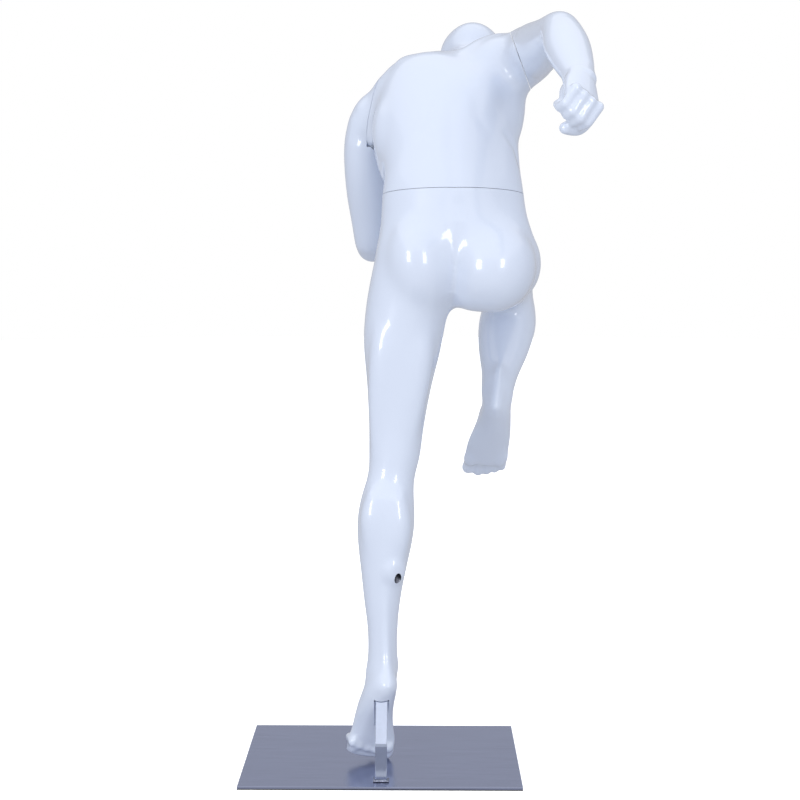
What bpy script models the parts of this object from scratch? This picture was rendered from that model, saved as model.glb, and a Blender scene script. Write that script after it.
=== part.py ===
"""A sprinting display mannequin: hollow fibreglass shells on a steel base with a bent foot post.

Metres, +Z up. The figure runs towards +Y and its right side is +X. The origin is the centre of the base's
underside. The shells meet at plane seams. Each seam is held by a keyed steel fitting: a socket disc on one
piece, and a key disc with a square peg that slides into it on the other.
"""

import math

import bmesh
import bpy
from mathutils import Matrix, Vector

# --- Base, post and liner ---------------------------------------------------------------------------------
BASE_LENGTH = 0.600
BASE_DEPTH = 0.400
BASE_THICK = 0.005
LINER_THICK = 0.002
POST_WIDTH = 0.025
POST_THICK = 0.010
POST_X = 0.002
POST_Y = -0.164
POST_BEND_Z = 0.085
POST_TIP_Z = 0.245
POST_LEAN = math.radians(33)  # of the upper part, from upright towards +Y
WELD_SIZE = 0.0045

# --- Shells -----------------------------------------------------------------------------------------------
WALL = 0.0045
BOARD_THICK = 0.008
BOARD_CLEAR = 0.0028  # room round a closing board
DISC_THICK = 0.0045
PEG_LENGTH = 0.025
TOUCH_GAP = 0.0003  # between solids that meet
SEAM_GAP = 0.0010  # the open line between two shells
VOXEL = 0.008
RELAX = 10
FITTING_SIDES = 24

# --- Joint centres of the figure --------------------------------------------------------------------------
LEFT_ANKLE = Vector((0.002, -0.055, 0.215))
LEFT_HEEL = Vector((0.013, -0.138, 0.196))
LEFT_BALL = Vector((-0.022, -0.052, 0.021))
RIGHT_KNEE = Vector((0.321, 0.545, 1.048))
RIGHT_ANKLE = Vector((0.263, 0.240, 0.792))
RIGHT_HEEL = Vector((0.258, 0.188, 0.748))
RIGHT_TOE = Vector((0.229, 0.372, 0.562))
HEAD = Vector((0.204, 0.488, 1.581))
RIGHT_SHOULDER = Vector((0.325, 0.185, 1.562))
RIGHT_ELBOW = Vector((0.368, -0.140, 1.570))
RIGHT_WRIST = Vector((0.383, -0.360, 1.447))
RIGHT_FIST = Vector((0.379, -0.425, 1.398))
LEFT_SHOULDER = Vector((-0.032, 0.280, 1.415))
LEFT_ELBOW = Vector((-0.031, 0.338, 1.121))
LEFT_WRIST = Vector((0.006, 0.552, 1.278))
LEFT_FIST = Vector((0.018, 0.615, 1.325))


class Seam:
    """A plane cut between two shells. The axis points towards the piece that comes off."""

    def __init__(self, name, centre, axis, reach, clear, bore, disc, peg, bolt):
        self.name = name
        self.centre = Vector(centre)
        self.axis = Vector(axis).normalized()
        self.reach = reach  # radius of the cut that takes the loose piece off the fixed one
        self.clear = clear  # radius of the cut that takes the fixed piece off the loose one
        self.bore = bore  # radius round all of the hollow at the plane
        self.disc = disc  # radius of the steel discs
        self.peg = peg  # side of the square peg
        self.bolt = bolt  # radius of the centre bolt

    def frame(self, along=0.0):
        """A matrix whose Z runs along the axis, from a point that far from the plane."""
        turn = self.axis.to_track_quat("Z", "Y").to_matrix().to_4x4()
        return Matrix.Translation(self.centre + self.axis * along) @ turn


WAIST = Seam("waist", (0.155, 0.078, 1.243), (0.0, 0.145, 0.989), 0.50, 0.50, 0.22, 0.048, 0.026, 0.006)
HIP = Seam("hip", (0.256, 0.205, 1.083), (0.15, 0.985, 0.09), 0.17, 0.17, 0.10, 0.036, 0.020, 0.005)
RIGHT_ARM = Seam("right_arm", (0.306, 0.203, 1.552), (0.93, -0.10, 0.35), 0.17, 0.30, 0.09, 0.026, 0.014, 0.004)
LEFT_ARM = Seam("left_arm", (-0.012, 0.268, 1.432), (-0.915, 0.366, 0.17), 0.17, 0.10, 0.09, 0.026, 0.014, 0.004)


# --- Scene, materials and solids --------------------------------------------------------------------------
def clear_scene():
    for obj in list(bpy.data.objects):
        bpy.data.objects.remove(obj, do_unlink=True)


def material(name, colour, roughness, metallic=0.0, coat=0.0):
    made = bpy.data.materials.new(name)
    made.use_nodes = True
    shader = made.node_tree.nodes["Principled BSDF"]
    shader.inputs["Base Color"].default_value = (*colour, 1.0)
    shader.inputs["Roughness"].default_value = roughness
    shader.inputs["Metallic"].default_value = metallic
    shader.inputs["Coat Weight"].default_value = coat
    return made


def object_from(bm, name):
    mesh = bpy.data.meshes.new(name)
    bmesh.ops.recalc_face_normals(bm, faces=bm.faces)
    bm.to_mesh(mesh)
    bm.free()
    obj = bpy.data.objects.new(name, mesh)
    bpy.context.scene.collection.objects.link(obj)
    return obj


def apply_modifiers(obj):
    graph = bpy.context.evaluated_depsgraph_get()
    mesh = bpy.data.meshes.new_from_object(obj.evaluated_get(graph))
    obj.modifiers.clear()
    obj.data = mesh
    return obj


def combine(obj, other, operation, keep_other=False):
    """An exact Boolean of two closed solids, applied at once."""
    modifier = obj.modifiers.new(operation.title(), "BOOLEAN")
    modifier.operation = operation
    modifier.solver = "EXACT"
    modifier.object = other
    apply_modifiers(obj)
    if not keep_other:
        bpy.data.objects.remove(other, do_unlink=True)
    return obj


def copy_of(obj, name):
    twin = bpy.data.objects.new(name, obj.data.copy())
    bpy.context.scene.collection.objects.link(twin)
    return twin


def cylinder(name, radius, start, end, frame, sides=FITTING_SIDES, top_radius=None):
    """A round bar along the frame's Z, from start to end."""
    bm = bmesh.new()
    place = frame @ Matrix.Translation((0, 0, (start + end) / 2))
    bmesh.ops.create_cone(
        bm,
        cap_ends=True,
        segments=sides,
        radius1=radius,
        radius2=radius if top_radius is None else top_radius,
        depth=end - start,
        matrix=place,
    )
    return object_from(bm, name)


def box(name, size, centre, frame=None):
    bm = bmesh.new()
    bmesh.ops.create_cube(bm, size=1.0)
    bmesh.ops.scale(bm, vec=size, verts=bm.verts)
    bmesh.ops.translate(bm, vec=centre, verts=bm.verts)
    if frame is not None:
        bmesh.ops.transform(bm, matrix=frame, verts=bm.verts)
    return object_from(bm, name)


def bevel_edges(obj, width, segments=1):
    modifier = obj.modifiers.new("Bevel", "BEVEL")
    modifier.width = width
    modifier.segments = segments
    modifier.limit_method = "ANGLE"
    return apply_modifiers(obj)


def finish(obj, look, origin=None, angle=40):
    """Gives a node its material, its smooth shading and, where it moves, its origin on the joint."""
    obj.data.materials.clear()
    obj.data.materials.append(look)
    obj.data.shade_smooth()
    obj.data.set_sharp_from_angle(angle=math.radians(angle))
    if origin is not None:
        obj.data.transform(Matrix.Translation(-Vector(origin)))
        obj.location = origin
    return obj


# --- Clay: overlapping forms that a remesh fuses into one skin --------------------------------------------
class Clay:
    """Limbs and balls of clay. Growing every form by a negative wall gives the hollow inside."""

    def __init__(self, grow=0.0):
        self.bm = bmesh.new()
        self.grow = grow

    def ball(self, centre, radii, along=(0, 0, 1)):
        """An ellipsoid: two radii across and one along a direction."""
        turn = Vector(along).to_track_quat("Z", "Y").to_matrix().to_4x4()
        size = Matrix.Diagonal([r + self.grow for r in radii] + [1.0])
        place = Matrix.Translation(Vector(centre)) @ turn @ size
        bmesh.ops.create_icosphere(self.bm, subdivisions=3, radius=1.0, matrix=place)

    def limb(self, stations, front, sides=24, steps=4, dome=0.6):
        """A tube through stations (x, y, z, half width, depth in front, depth behind) with domed ends."""
        path = [tuple(s) for s in stations]
        dense = [self._between(path, i, k / steps) for i in range(len(path) - 1) for k in range(steps)]
        dense.append(path[-1])
        points = [Vector(row[:3]) for row in dense]
        rings = []
        for i, row in enumerate(dense):
            heading = (points[min(i + 1, len(points) - 1)] - points[max(i - 1, 0)]).normalized()
            across = heading.cross(Vector(front)).normalized()
            ahead = across.cross(heading).normalized()
            sizes = [r + self.grow for r in row[3:]]
            if i == 0:
                rings += self._dome(points[i], -heading, across, ahead, sizes, sides, dome)[::-1]
            rings.append(self._ring(points[i], across, ahead, sizes, sides))
            if i == len(dense) - 1:
                rings += self._dome(points[i], heading, across, ahead, sizes, sides, dome)
        self._skin(rings)

    @staticmethod
    def _between(path, i, t):
        """A Catmull-Rom blend of the rows on either side."""
        a, b, c, d = (path[min(max(i + k, 0), len(path) - 1)] for k in (-1, 0, 1, 2))
        weights = (-t + 2 * t * t - t**3, 2 - 5 * t * t + 3 * t**3, t + 4 * t * t - 3 * t**3, t**3 - t * t)
        return tuple(
            sum(w * row[n] for w, row in zip(weights, (a, b, c, d))) / 2 for n in range(len(b))
        )

    @staticmethod
    def _ring(centre, across, ahead, sizes, sides):
        width, fore, aft = sizes
        ring = []
        for k in range(sides):
            angle = 2 * math.pi * k / sides
            depth = fore if math.sin(angle) > 0 else aft
            ring.append(centre + across * width * math.cos(angle) + ahead * depth * math.sin(angle))
        return ring

    def _dome(self, centre, outward, across, ahead, sizes, sides, dome):
        rings = []
        rise = dome * min(sizes)
        for degrees in (30, 60, 82):
            angle = math.radians(degrees)
            shrunk = [r * math.cos(angle) for r in sizes]
            rings.append(self._ring(centre + outward * rise * math.sin(angle), across, ahead, shrunk, sides))
        return rings

    def _skin(self, rings):
        loops = [[self.bm.verts.new(p) for p in ring] for ring in rings]
        for lower, upper in zip(loops, loops[1:]):
            for k in range(len(lower)):
                n = (k + 1) % len(lower)
                self.bm.faces.new((lower[k], lower[n], upper[n], upper[k]))
        self.bm.faces.new(loops[0][::-1])
        self.bm.faces.new(loops[-1])

    def fire(self, name, triangles, voxel=VOXEL, relax=RELAX):
        """Fuses the forms, relaxes the creases between them and thins the mesh out."""
        obj = object_from(self.bm, name)
        remesh = obj.modifiers.new("Remesh", "REMESH")
        remesh.mode = "VOXEL"
        remesh.voxel_size = voxel
        smooth = obj.modifiers.new("Smooth", "SMOOTH")
        smooth.factor = 0.5
        smooth.iterations = relax
        apply_modifiers(obj)
        count = sum(len(p.vertices) - 2 for p in obj.data.polygons)
        thin = obj.modifiers.new("Decimate", "DECIMATE")
        thin.ratio = min(1.0, triangles / count)
        return apply_modifiers(obj)


# --- The figure's forms -----------------------------------------------------------------------------------
UP = (0, 0, 1)
AHEAD = (0, 1, 0)


def pelvis(clay):
    clay.limb(
        [
            (0.158, 0.066, 1.050, 0.125, 0.080, 0.090),
            (0.160, 0.064, 1.090, 0.168, 0.098, 0.105),
            (0.162, 0.064, 1.140, 0.173, 0.106, 0.108),
            (0.158, 0.070, 1.190, 0.163, 0.106, 0.103),
            (0.155, 0.079, 1.245, 0.155, 0.106, 0.098),
        ],
        AHEAD,
    )
    clay.ball((0.078, 0.008, 1.092), (0.078, 0.076, 0.100), along=(-0.1, 0.0, 1.0))
    clay.ball((0.237, 0.012, 1.088), (0.096, 0.088, 0.101), along=(0.1, 0.3, 1.0))
    clay.ball((0.030, 0.060, 1.100), (0.045, 0.075, 0.090))
    right_hip(clay)


def right_hip(clay):
    clay.ball((0.285, 0.080, 1.100), (0.064, 0.085, 0.080))


def left_leg(clay, foot=True):
    clay.limb(
        [
            (0.062, 0.055, 1.090, 0.080, 0.082, 0.085),
            (0.056, 0.052, 1.010, 0.089, 0.090, 0.092),
            (0.045, 0.046, 0.920, 0.086, 0.088, 0.086),
            (0.038, 0.038, 0.830, 0.071, 0.082, 0.076),
            (0.032, 0.026, 0.740, 0.0600, 0.071, 0.064),
            (0.028, 0.013, 0.680, 0.0565, 0.061, 0.055),
            (0.021, 0.004, 0.632, 0.0505, 0.058, 0.049),
            (0.014, -0.006, 0.585, 0.0585, 0.050, 0.056),
            (0.010, -0.014, 0.535, 0.0630, 0.048, 0.064),
            (0.007, -0.022, 0.485, 0.0585, 0.045, 0.060),
            (0.004, -0.030, 0.430, 0.0490, 0.042, 0.051),
            (0.002, -0.037, 0.370, 0.0405, 0.038, 0.043),
            (0.003, -0.044, 0.310, 0.0335, 0.034, 0.038),
            (0.003, -0.050, 0.260, 0.0335, 0.033, 0.038),
            (0.002, -0.057, 0.215, 0.0355, 0.036, 0.043),
            (0.000, -0.062, 0.185, 0.0330, 0.036, 0.050),
        ],
        AHEAD,
    )
    clay.ball((0.023, 0.040, 0.645), (0.030, 0.026, 0.036))
    if foot:
        foot_forms(clay, LEFT_HEEL, LEFT_BALL, LEFT_ANKLE, Vector((-0.18, 0.984, 0.0)), -1)


def right_thigh(clay):
    clay.limb(
        [
            (0.233, 0.090, 1.084, 0.084, 0.085, 0.090),
            (0.252, 0.170, 1.082, 0.088, 0.088, 0.092),
            (0.272, 0.270, 1.077, 0.080, 0.085, 0.082),
            (0.290, 0.370, 1.069, 0.069, 0.075, 0.069),
            (0.305, 0.460, 1.060, 0.058, 0.063, 0.056),
            (0.318, 0.535, 1.050, 0.052, 0.054, 0.050),
        ],
        UP,
    )


def right_leg(clay, foot=True):
    right_thigh(clay)
    shank = RIGHT_ANKLE - RIGHT_KNEE
    sizes = [
        (0.00, 0.050, 0.046, 0.044),
        (0.16, 0.060, 0.046, 0.052),
        (0.30, 0.068, 0.046, 0.060),
        (0.43, 0.070, 0.045, 0.061),
        (0.56, 0.064, 0.043, 0.055),
        (0.69, 0.051, 0.039, 0.046),
        (0.83, 0.041, 0.036, 0.040),
        (0.93, 0.038, 0.036, 0.041),
        (1.00, 0.038, 0.038, 0.044),
    ]
    clay.limb([(*(RIGHT_KNEE + shank * t), *size) for t, *size in sizes], (0, 0.64, -0.77))
    clay.ball(RIGHT_KNEE + Vector((0.0, 0.020, 0.014)), (0.036, 0.034, 0.040), along=(0, 1, 0.5))
    if foot:
        along = (RIGHT_TOE - RIGHT_HEEL).normalized()
        ball = RIGHT_HEEL + along * 0.195
        foot_forms(clay, RIGHT_HEEL, ball, RIGHT_ANKLE, (along + Vector((0, 0.12, 0.02))).normalized(), 1)


def foot_forms(clay, heel, ball, ankle, toes, outer):
    """A foot from its heel's and ball's sole points. Its toes run along a direction of their own, and outer is
    +1 or -1 for which way the little toe lies across the foot."""
    along = (ball - heel).normalized()
    top = (ankle - heel) - along * (ankle - heel).dot(along)
    top.normalize()
    side = along.cross(top) * outer
    length = (ball - heel).length
    sections = [
        (0.04, 0.029, 0.026, 0.030),
        (0.18, 0.035, 0.036, 0.036),
        (0.36, 0.038, 0.044, 0.038),
        (0.52, 0.042, 0.042, 0.032),
        (0.70, 0.047, 0.034, 0.025),
        (0.86, 0.050, 0.025, 0.020),
        (1.00, 0.051, 0.019, 0.018),
    ]
    stations = []
    for share, width, above, below in sections:
        point = heel + along * length * share + top * (below + 0.002) + side * 0.004
        stations.append((*point, width, above, below))
    clay.limb(stations, top, dome=0.8)
    clay.limb(
        [
            (*(ankle + top * 0.008), 0.034, 0.030, 0.040),
            (*(heel + along * length * 0.40 + top * 0.062), 0.032, 0.026, 0.034),
            (*(heel + along * length * 0.62 + top * 0.048), 0.032, 0.020, 0.030),
        ],
        top,
    )
    clay.ball(heel + along * 0.016 + top * 0.036, (0.030, 0.032, 0.036), along=top)
    lift = (top - toes * top.dot(toes)).normalized()
    for place, reach, thick in (
        (-0.032, 0.062, 0.0165),
        (-0.011, 0.060, 0.0130),
        (0.008, 0.055, 0.0125),
        (0.025, 0.048, 0.0120),
        (0.040, 0.039, 0.0115),
    ):
        start = ball + side * place + lift * thick - along * 0.014
        stop = start + toes * reach
        stations = [(start, 1.15, 1.0), (start.lerp(stop, 0.5), 1.02, 1.0), (stop, 1.0, 0.9)]
        clay.limb(
            [(*point, thick * wide, thick * deep, thick * deep) for point, wide, deep in stations],
            lift,
            sides=12,
            dome=1.0,
        )


def trunk(clay):
    clay.limb(
        [
            (0.155, 0.074, 1.215, 0.157, 0.106, 0.102),
            (0.155, 0.079, 1.245, 0.155, 0.106, 0.098),
            (0.153, 0.104, 1.300, 0.147, 0.106, 0.096),
            (0.148, 0.142, 1.360, 0.153, 0.112, 0.104),
            (0.146, 0.186, 1.415, 0.160, 0.118, 0.110),
            (0.152, 0.232, 1.462, 0.152, 0.112, 0.104),
            (0.170, 0.280, 1.500, 0.110, 0.085, 0.078),
        ],
        AHEAD,
    )


def left_shoulder(clay):
    """The shoulder, which shapes both sides of the left arm's seam."""
    clay.ball((0.048, 0.240, 1.462), (0.062, 0.075, 0.082), along=(1.0, -0.3, 0.25))
    clay.ball((0.100, 0.258, 1.502), (0.048, 0.048, 0.090), along=(1.0, 0.1, 0.18))
    clay.ball(LEFT_SHOULDER, (0.052, 0.057, 0.068), along=(0.0, 0.1, -1.0))


def right_shoulder(clay):
    """The same on the right, where the arm is raised behind the back."""
    clay.ball((0.265, 0.212, 1.522), (0.066, 0.078, 0.075), along=(1.0, -0.1, 0.35))
    clay.ball((0.240, 0.245, 1.549), (0.049, 0.055, 0.086), along=(1.0, -0.15, 0.38))
    clay.ball(RIGHT_SHOULDER, (0.060, 0.062, 0.072), along=(0.35, -0.92, 0.10))


def chest_and_back(clay):
    """Breast, side of the back and shoulder blade, left then right."""
    clay.ball((0.078, 0.275, 1.400), (0.082, 0.066, 0.050), along=(-0.25, 0.8, -0.6))
    clay.ball((0.026, 0.178, 1.400), (0.050, 0.060, 0.095), along=(0.15, 0.5, 1.0))
    clay.ball((0.085, 0.150, 1.430), (0.060, 0.060, 0.080), along=(0.1, 0.5, 1.0))
    clay.ball((0.222, 0.262, 1.418), (0.082, 0.066, 0.050), along=(0.25, 0.8, -0.6))
    clay.ball((0.270, 0.168, 1.430), (0.051, 0.062, 0.105), along=(0.10, 0.4, 1.0))
    clay.ball((0.215, 0.145, 1.450), (0.060, 0.060, 0.080), along=(0.0, 0.5, 1.0))


def neck_and_head(clay):
    clay.limb(
        [
            (0.172, 0.262, 1.495, 0.085, 0.070, 0.066),
            (0.186, 0.325, 1.535, 0.064, 0.062, 0.060),
            (0.194, 0.385, 1.556, 0.057, 0.058, 0.056),
            (0.200, 0.445, 1.566, 0.057, 0.058, 0.056),
        ],
        (0, 0.5, -0.86),
    )
    clay.ball(HEAD, (0.0755, 0.091, 0.095), along=(0, 0.70, 0.71))
    clay.ball(HEAD + Vector((0.0, 0.012, -0.034)), (0.062, 0.072, 0.090), along=(0, 0.72, 0.69))
    clay.ball(HEAD + Vector((0.0, -0.012, -0.078)), (0.042, 0.042, 0.050), along=(0, 0.75, 0.66))


def right_arm(clay, hand=True):
    line = RIGHT_ELBOW - RIGHT_SHOULDER
    sizes = [
        (0.00, 0.056, 0.058, 0.072),
        (0.25, 0.052, 0.054, 0.068),
        (0.50, 0.047, 0.046, 0.062),
        (0.75, 0.042, 0.040, 0.050),
        (1.00, 0.038, 0.038, 0.042),
    ]
    clay.limb([(*(RIGHT_SHOULDER + line * t), *size) for t, *size in sizes], UP)
    line = RIGHT_WRIST - RIGHT_ELBOW
    sizes = [
        (0.00, 0.038, 0.040, 0.036),
        (0.22, 0.043, 0.040, 0.038),
        (0.40, 0.042, 0.038, 0.036),
        (0.65, 0.035, 0.031, 0.030),
        (0.85, 0.029, 0.025, 0.024),
        (1.00, 0.028, 0.023, 0.022),
    ]
    clay.limb([(*(RIGHT_ELBOW + line * t), *size) for t, *size in sizes], UP)
    if hand:
        fist(clay, RIGHT_WRIST, RIGHT_FIST, Vector((0.86, 0, 0.50)), -1)


def left_arm(clay, hand=True):
    clay.limb(
        [
            (*LEFT_SHOULDER, 0.050, 0.056, 0.056),
            (-0.046, 0.290, 1.360, 0.047, 0.054, 0.056),
            (-0.047, 0.302, 1.300, 0.044, 0.050, 0.055),
            (-0.045, 0.314, 1.245, 0.042, 0.045, 0.050),
            (-0.039, 0.325, 1.190, 0.038, 0.040, 0.043),
            (-0.034, 0.336, 1.135, 0.033, 0.038, 0.036),
        ],
        AHEAD,
    )
    line = LEFT_WRIST - LEFT_ELBOW
    sizes = [
        (0.00, 0.034, 0.036, 0.034),
        (0.22, 0.042, 0.038, 0.038),
        (0.40, 0.041, 0.037, 0.036),
        (0.65, 0.034, 0.031, 0.030),
        (0.85, 0.028, 0.025, 0.024),
        (1.00, 0.027, 0.023, 0.022),
    ]
    clay.limb([(*(LEFT_ELBOW + line * t), *size) for t, *size in sizes], (0, -0.5, 0.86))
    if hand:
        fist(clay, LEFT_WRIST, LEFT_FIST, Vector((-1, 0, 0)), 1)


def fist(clay, wrist, centre, back, thumb_side):
    """A closed hand. The back of the hand faces the given way, and the thumb lies on the given side."""
    along = (centre - wrist).normalized()
    back = (back - along * back.dot(along)).normalized()
    across = along.cross(back) * thumb_side
    clay.limb(
        [
            (*(wrist - along * 0.01), 0.026, 0.023, 0.023),
            (*(wrist + along * 0.035), 0.036, 0.024, 0.026),
            (*(wrist + along * 0.085 + back * 0.004), 0.041, 0.022, 0.028),
        ],
        back,
        sides=16,
    )
    for n in range(4):
        knuckle = wrist + along * (0.092 - 0.004 * abs(n - 1)) + across * (n - 1.5) * 0.0195 + back * 0.016
        bend = knuckle + along * 0.012 - back * 0.036
        tip = bend - along * 0.034 - back * 0.004
        for start, stop in ((knuckle, bend), (bend, tip)):
            rows = [(*start, 0.0115, 0.0110, 0.0110), (*stop, 0.0108, 0.0105, 0.0105)]
            clay.limb(rows, across, sides=12, dome=1.0)
    thumb = [
        wrist + along * 0.030 + across * 0.034 - back * 0.012,
        wrist + along * 0.062 + across * 0.034 - back * 0.030,
        wrist + along * 0.080 + across * 0.006 - back * 0.044,
    ]
    clay.limb([(*p, r, r, r) for p, r in zip(thumb, (0.014, 0.0135, 0.0115))], back, sides=12, dome=1.0)


# --- Assembly ---------------------------------------------------------------------------------------------
def clay_of(forms, name, triangles, grow=0.0):
    clay = Clay(grow)
    for form, options in forms:
        form(clay, **options)
    return clay.fire(name, triangles)


def cut(obj, seam, keep):
    """Cuts at the seam's plane, half a seam gap short of it, and keeps the fixed or the loose side."""
    if keep == "fixed":
        cutter = cylinder("cutter", seam.reach, -SEAM_GAP / 2, 0.7, seam.frame(), sides=48)
    else:
        cutter = cylinder("cutter", seam.clear, -0.7, SEAM_GAP / 2, seam.frame(), sides=48)
    return combine(obj, cutter, "DIFFERENCE")


def beside(body, seam, room, start):
    """A copy of the fixed body, grown by some room and cut off past the seam, to cut a piece that hangs on it."""
    neighbour = copy_of(body, "neighbour")
    for vertex, normal in [(v, v.normal.copy()) for v in neighbour.data.vertices]:
        vertex.co += normal * room
    cutter = cylinder("cutter", seam.reach, start, 0.7, seam.frame(), sides=48)
    return combine(neighbour, cutter, "DIFFERENCE")


def closing_board(name, hollow, seam, start):
    """A board that fills a slice of the hollow, with a little clearance all round."""
    board = copy_of(hollow, name)
    slab = cylinder("slab", seam.bore, start, start + BOARD_THICK, seam.frame(), sides=48)
    combine(board, slab, "INTERSECT")
    frame = seam.frame()
    fit = 1 - BOARD_CLEAR / seam.bore
    board.data.transform(frame @ Matrix.Diagonal((fit, fit, 1.0, 1.0)) @ frame.inverted())
    return board


def drill(obj, radius, start, end, frame, sides=16):
    return combine(obj, cylinder("drill", radius, start, end, frame, sides), "DIFFERENCE")


def screw_frames(seam, count=3):
    for n in range(count):
        turn = Matrix.Rotation(2 * math.pi * n / count, 4, "Z")
        yield seam.frame() @ turn @ Matrix.Translation((0.72 * seam.disc, 0, 0))


def fitting(seam, fixed_hollow, loose_hollow, steel, zinc, wood):
    """Everything between two shells: two boards, a socket disc with its screws, a key disc and a bolt."""
    frame = seam.frame()
    face = TOUCH_GAP / 2
    back = face + DISC_THICK
    board = back + TOUCH_GAP
    half_peg = seam.peg / 2
    screw_radius = 0.0022
    head_radius = 0.0042
    head_thick = 0.0028

    fixed = closing_board(f"{seam.name}_fixed_board", fixed_hollow, seam, -board - BOARD_THICK)
    drill(fixed, 1.5 * half_peg + 0.001, -0.1, 0.1, frame, sides=24)
    socket = cylinder(f"{seam.name}_socket_disc", seam.disc, -back, -face, frame)
    peg_hole = box("hole", (seam.peg + 0.0008, seam.peg + 0.0008, 0.1), (0, 0, 0), frame)
    combine(socket, peg_hole, "DIFFERENCE")
    for n, place in enumerate(screw_frames(seam), 1):
        drill(fixed, screw_radius + TOUCH_GAP, -0.1, 0.1, place, sides=12)
        drill(socket, screw_radius + TOUCH_GAP, -0.1, 0.1, place, sides=12)
        drill(socket, head_radius + TOUCH_GAP, -face - head_thick - TOUCH_GAP, 0.1, place, sides=12)
        screw = cylinder(f"{seam.name}_screw_{n}", head_radius, -face - head_thick, -face, place, sides=12)
        shank = cylinder("shank", screw_radius, -board - BOARD_THICK + 0.001, -face - 0.001, place, sides=12)
        finish(combine(screw, shank, "UNION"), zinc, seam.centre)

    loose = closing_board(f"{seam.name}_loose_board", loose_hollow, seam, board)
    drill(loose, seam.bolt + TOUCH_GAP, -0.1, 0.1, frame)
    key = cylinder(f"{seam.name}_key_disc", 0.92 * seam.disc, face, back, frame)
    peg = box("peg", (seam.peg, seam.peg, PEG_LENGTH + 0.001), (0, 0, face + 0.001 - PEG_LENGTH / 2), frame)
    combine(key, bevel_edges(peg, 0.0012), "UNION")
    drill(key, seam.bolt + TOUCH_GAP, -0.7 * PEG_LENGTH, 0.1, frame)
    top = board + BOARD_THICK + TOUCH_GAP
    bolt = cylinder(f"{seam.name}_bolt", 1.9 * seam.bolt, top, top + 1.3 * seam.bolt, frame, sides=6)
    shank = cylinder("shank", seam.bolt, -0.6 * PEG_LENGTH, top + 0.001, frame, sides=16)
    combine(bolt, shank, "UNION")
    for obj, look in ((fixed, wood), (socket, steel), (loose, wood), (key, steel), (bolt, zinc)):
        finish(obj, look, seam.centre)


def post_frame():
    """Z runs up the post's leaning part from its bend, and X stays level."""
    return Matrix.Translation((POST_X, POST_Y, POST_BEND_Z)) @ Matrix.Rotation(-POST_LEAN, 4, "X")


POST_REACH = (POST_TIP_Z - POST_BEND_Z) / math.cos(POST_LEAN)
PLATE_TOP = LINER_THICK + BASE_THICK


def base(steel, chrome, foam):
    liner = box("base_liner", (BASE_LENGTH, BASE_DEPTH, LINER_THICK - TOUCH_GAP), (0, 0, 0))
    liner.data.transform(Matrix.Translation((0, 0, (LINER_THICK - TOUCH_GAP) / 2)))
    finish(liner, foam)
    middle = LINER_THICK + BASE_THICK / 2
    plate = box("base_plate", (BASE_LENGTH, BASE_DEPTH, BASE_THICK), (0, 0, middle))
    finish(bevel_edges(plate, 0.0006), steel, angle=30)

    bm = bmesh.new()
    half = POST_THICK / 2
    lean = Vector((0, math.sin(POST_LEAN), math.cos(POST_LEAN)))
    path = [(Vector((0, POST_Y, PLATE_TOP + TOUCH_GAP)), 0.0)]
    bend_radius = 0.016
    start = Vector((0, POST_Y, POST_BEND_Z)) - Vector((0, 0, bend_radius * math.tan(POST_LEAN / 2)))
    for n in range(5):
        angle = POST_LEAN * n / 4
        step = Vector((0, bend_radius * (1 - math.cos(angle)), bend_radius * math.sin(angle)))
        path.append((start + step, angle))
    path.append((Vector((0, POST_Y, POST_BEND_Z)) + lean * POST_REACH, POST_LEAN))
    rings = []
    for point, angle in path:
        across = Vector((0, math.cos(angle), -math.sin(angle))) * half
        corners = [(-1, -1), (1, -1), (1, 1), (-1, 1)]
        spots = [(POST_X + x * POST_WIDTH / 2, *(point + across * y).yz) for x, y in corners]
        rings.append([bm.verts.new(spot) for spot in spots])
    for lower, upper in zip(rings, rings[1:]):
        for k in range(4):
            bm.faces.new((lower[k], lower[(k + 1) % 4], upper[(k + 1) % 4], upper[k]))
    bm.faces.new(rings[0][::-1])
    bm.faces.new(rings[-1])
    finish(bevel_edges(object_from(bm, "foot_post"), 0.0012, 2), chrome, angle=30)

    foot = Matrix.Translation((POST_X, POST_Y, 0))
    size = (POST_WIDTH + 2 * WELD_SIZE, POST_THICK + 2 * WELD_SIZE, WELD_SIZE)
    weld = box("post_weld", size, (0, 0, 0), foot)
    weld.data.transform(Matrix.Translation((0, 0, PLATE_TOP + TOUCH_GAP + WELD_SIZE / 2)))
    bevel_edges(weld, 0.45 * WELD_SIZE, 2)
    room = (POST_WIDTH + 2 * TOUCH_GAP, POST_THICK + 2 * TOUCH_GAP, 0.1)
    combine(weld, box("room", room, (0, 0, 0), foot), "DIFFERENCE")
    finish(weld, chrome)


SLEEVE_START = 0.100
SLEEVE_WALL = 0.0026
LOCK_PLACE = 0.135
CALF_HOLE = Vector((0.0305, -0.0710, 0.438))
CALF_HEADING = Vector((-0.35, 0.45, 0.82))
CALF_TUBE = 0.0085
CALF_DEPTH = 0.060


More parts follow.
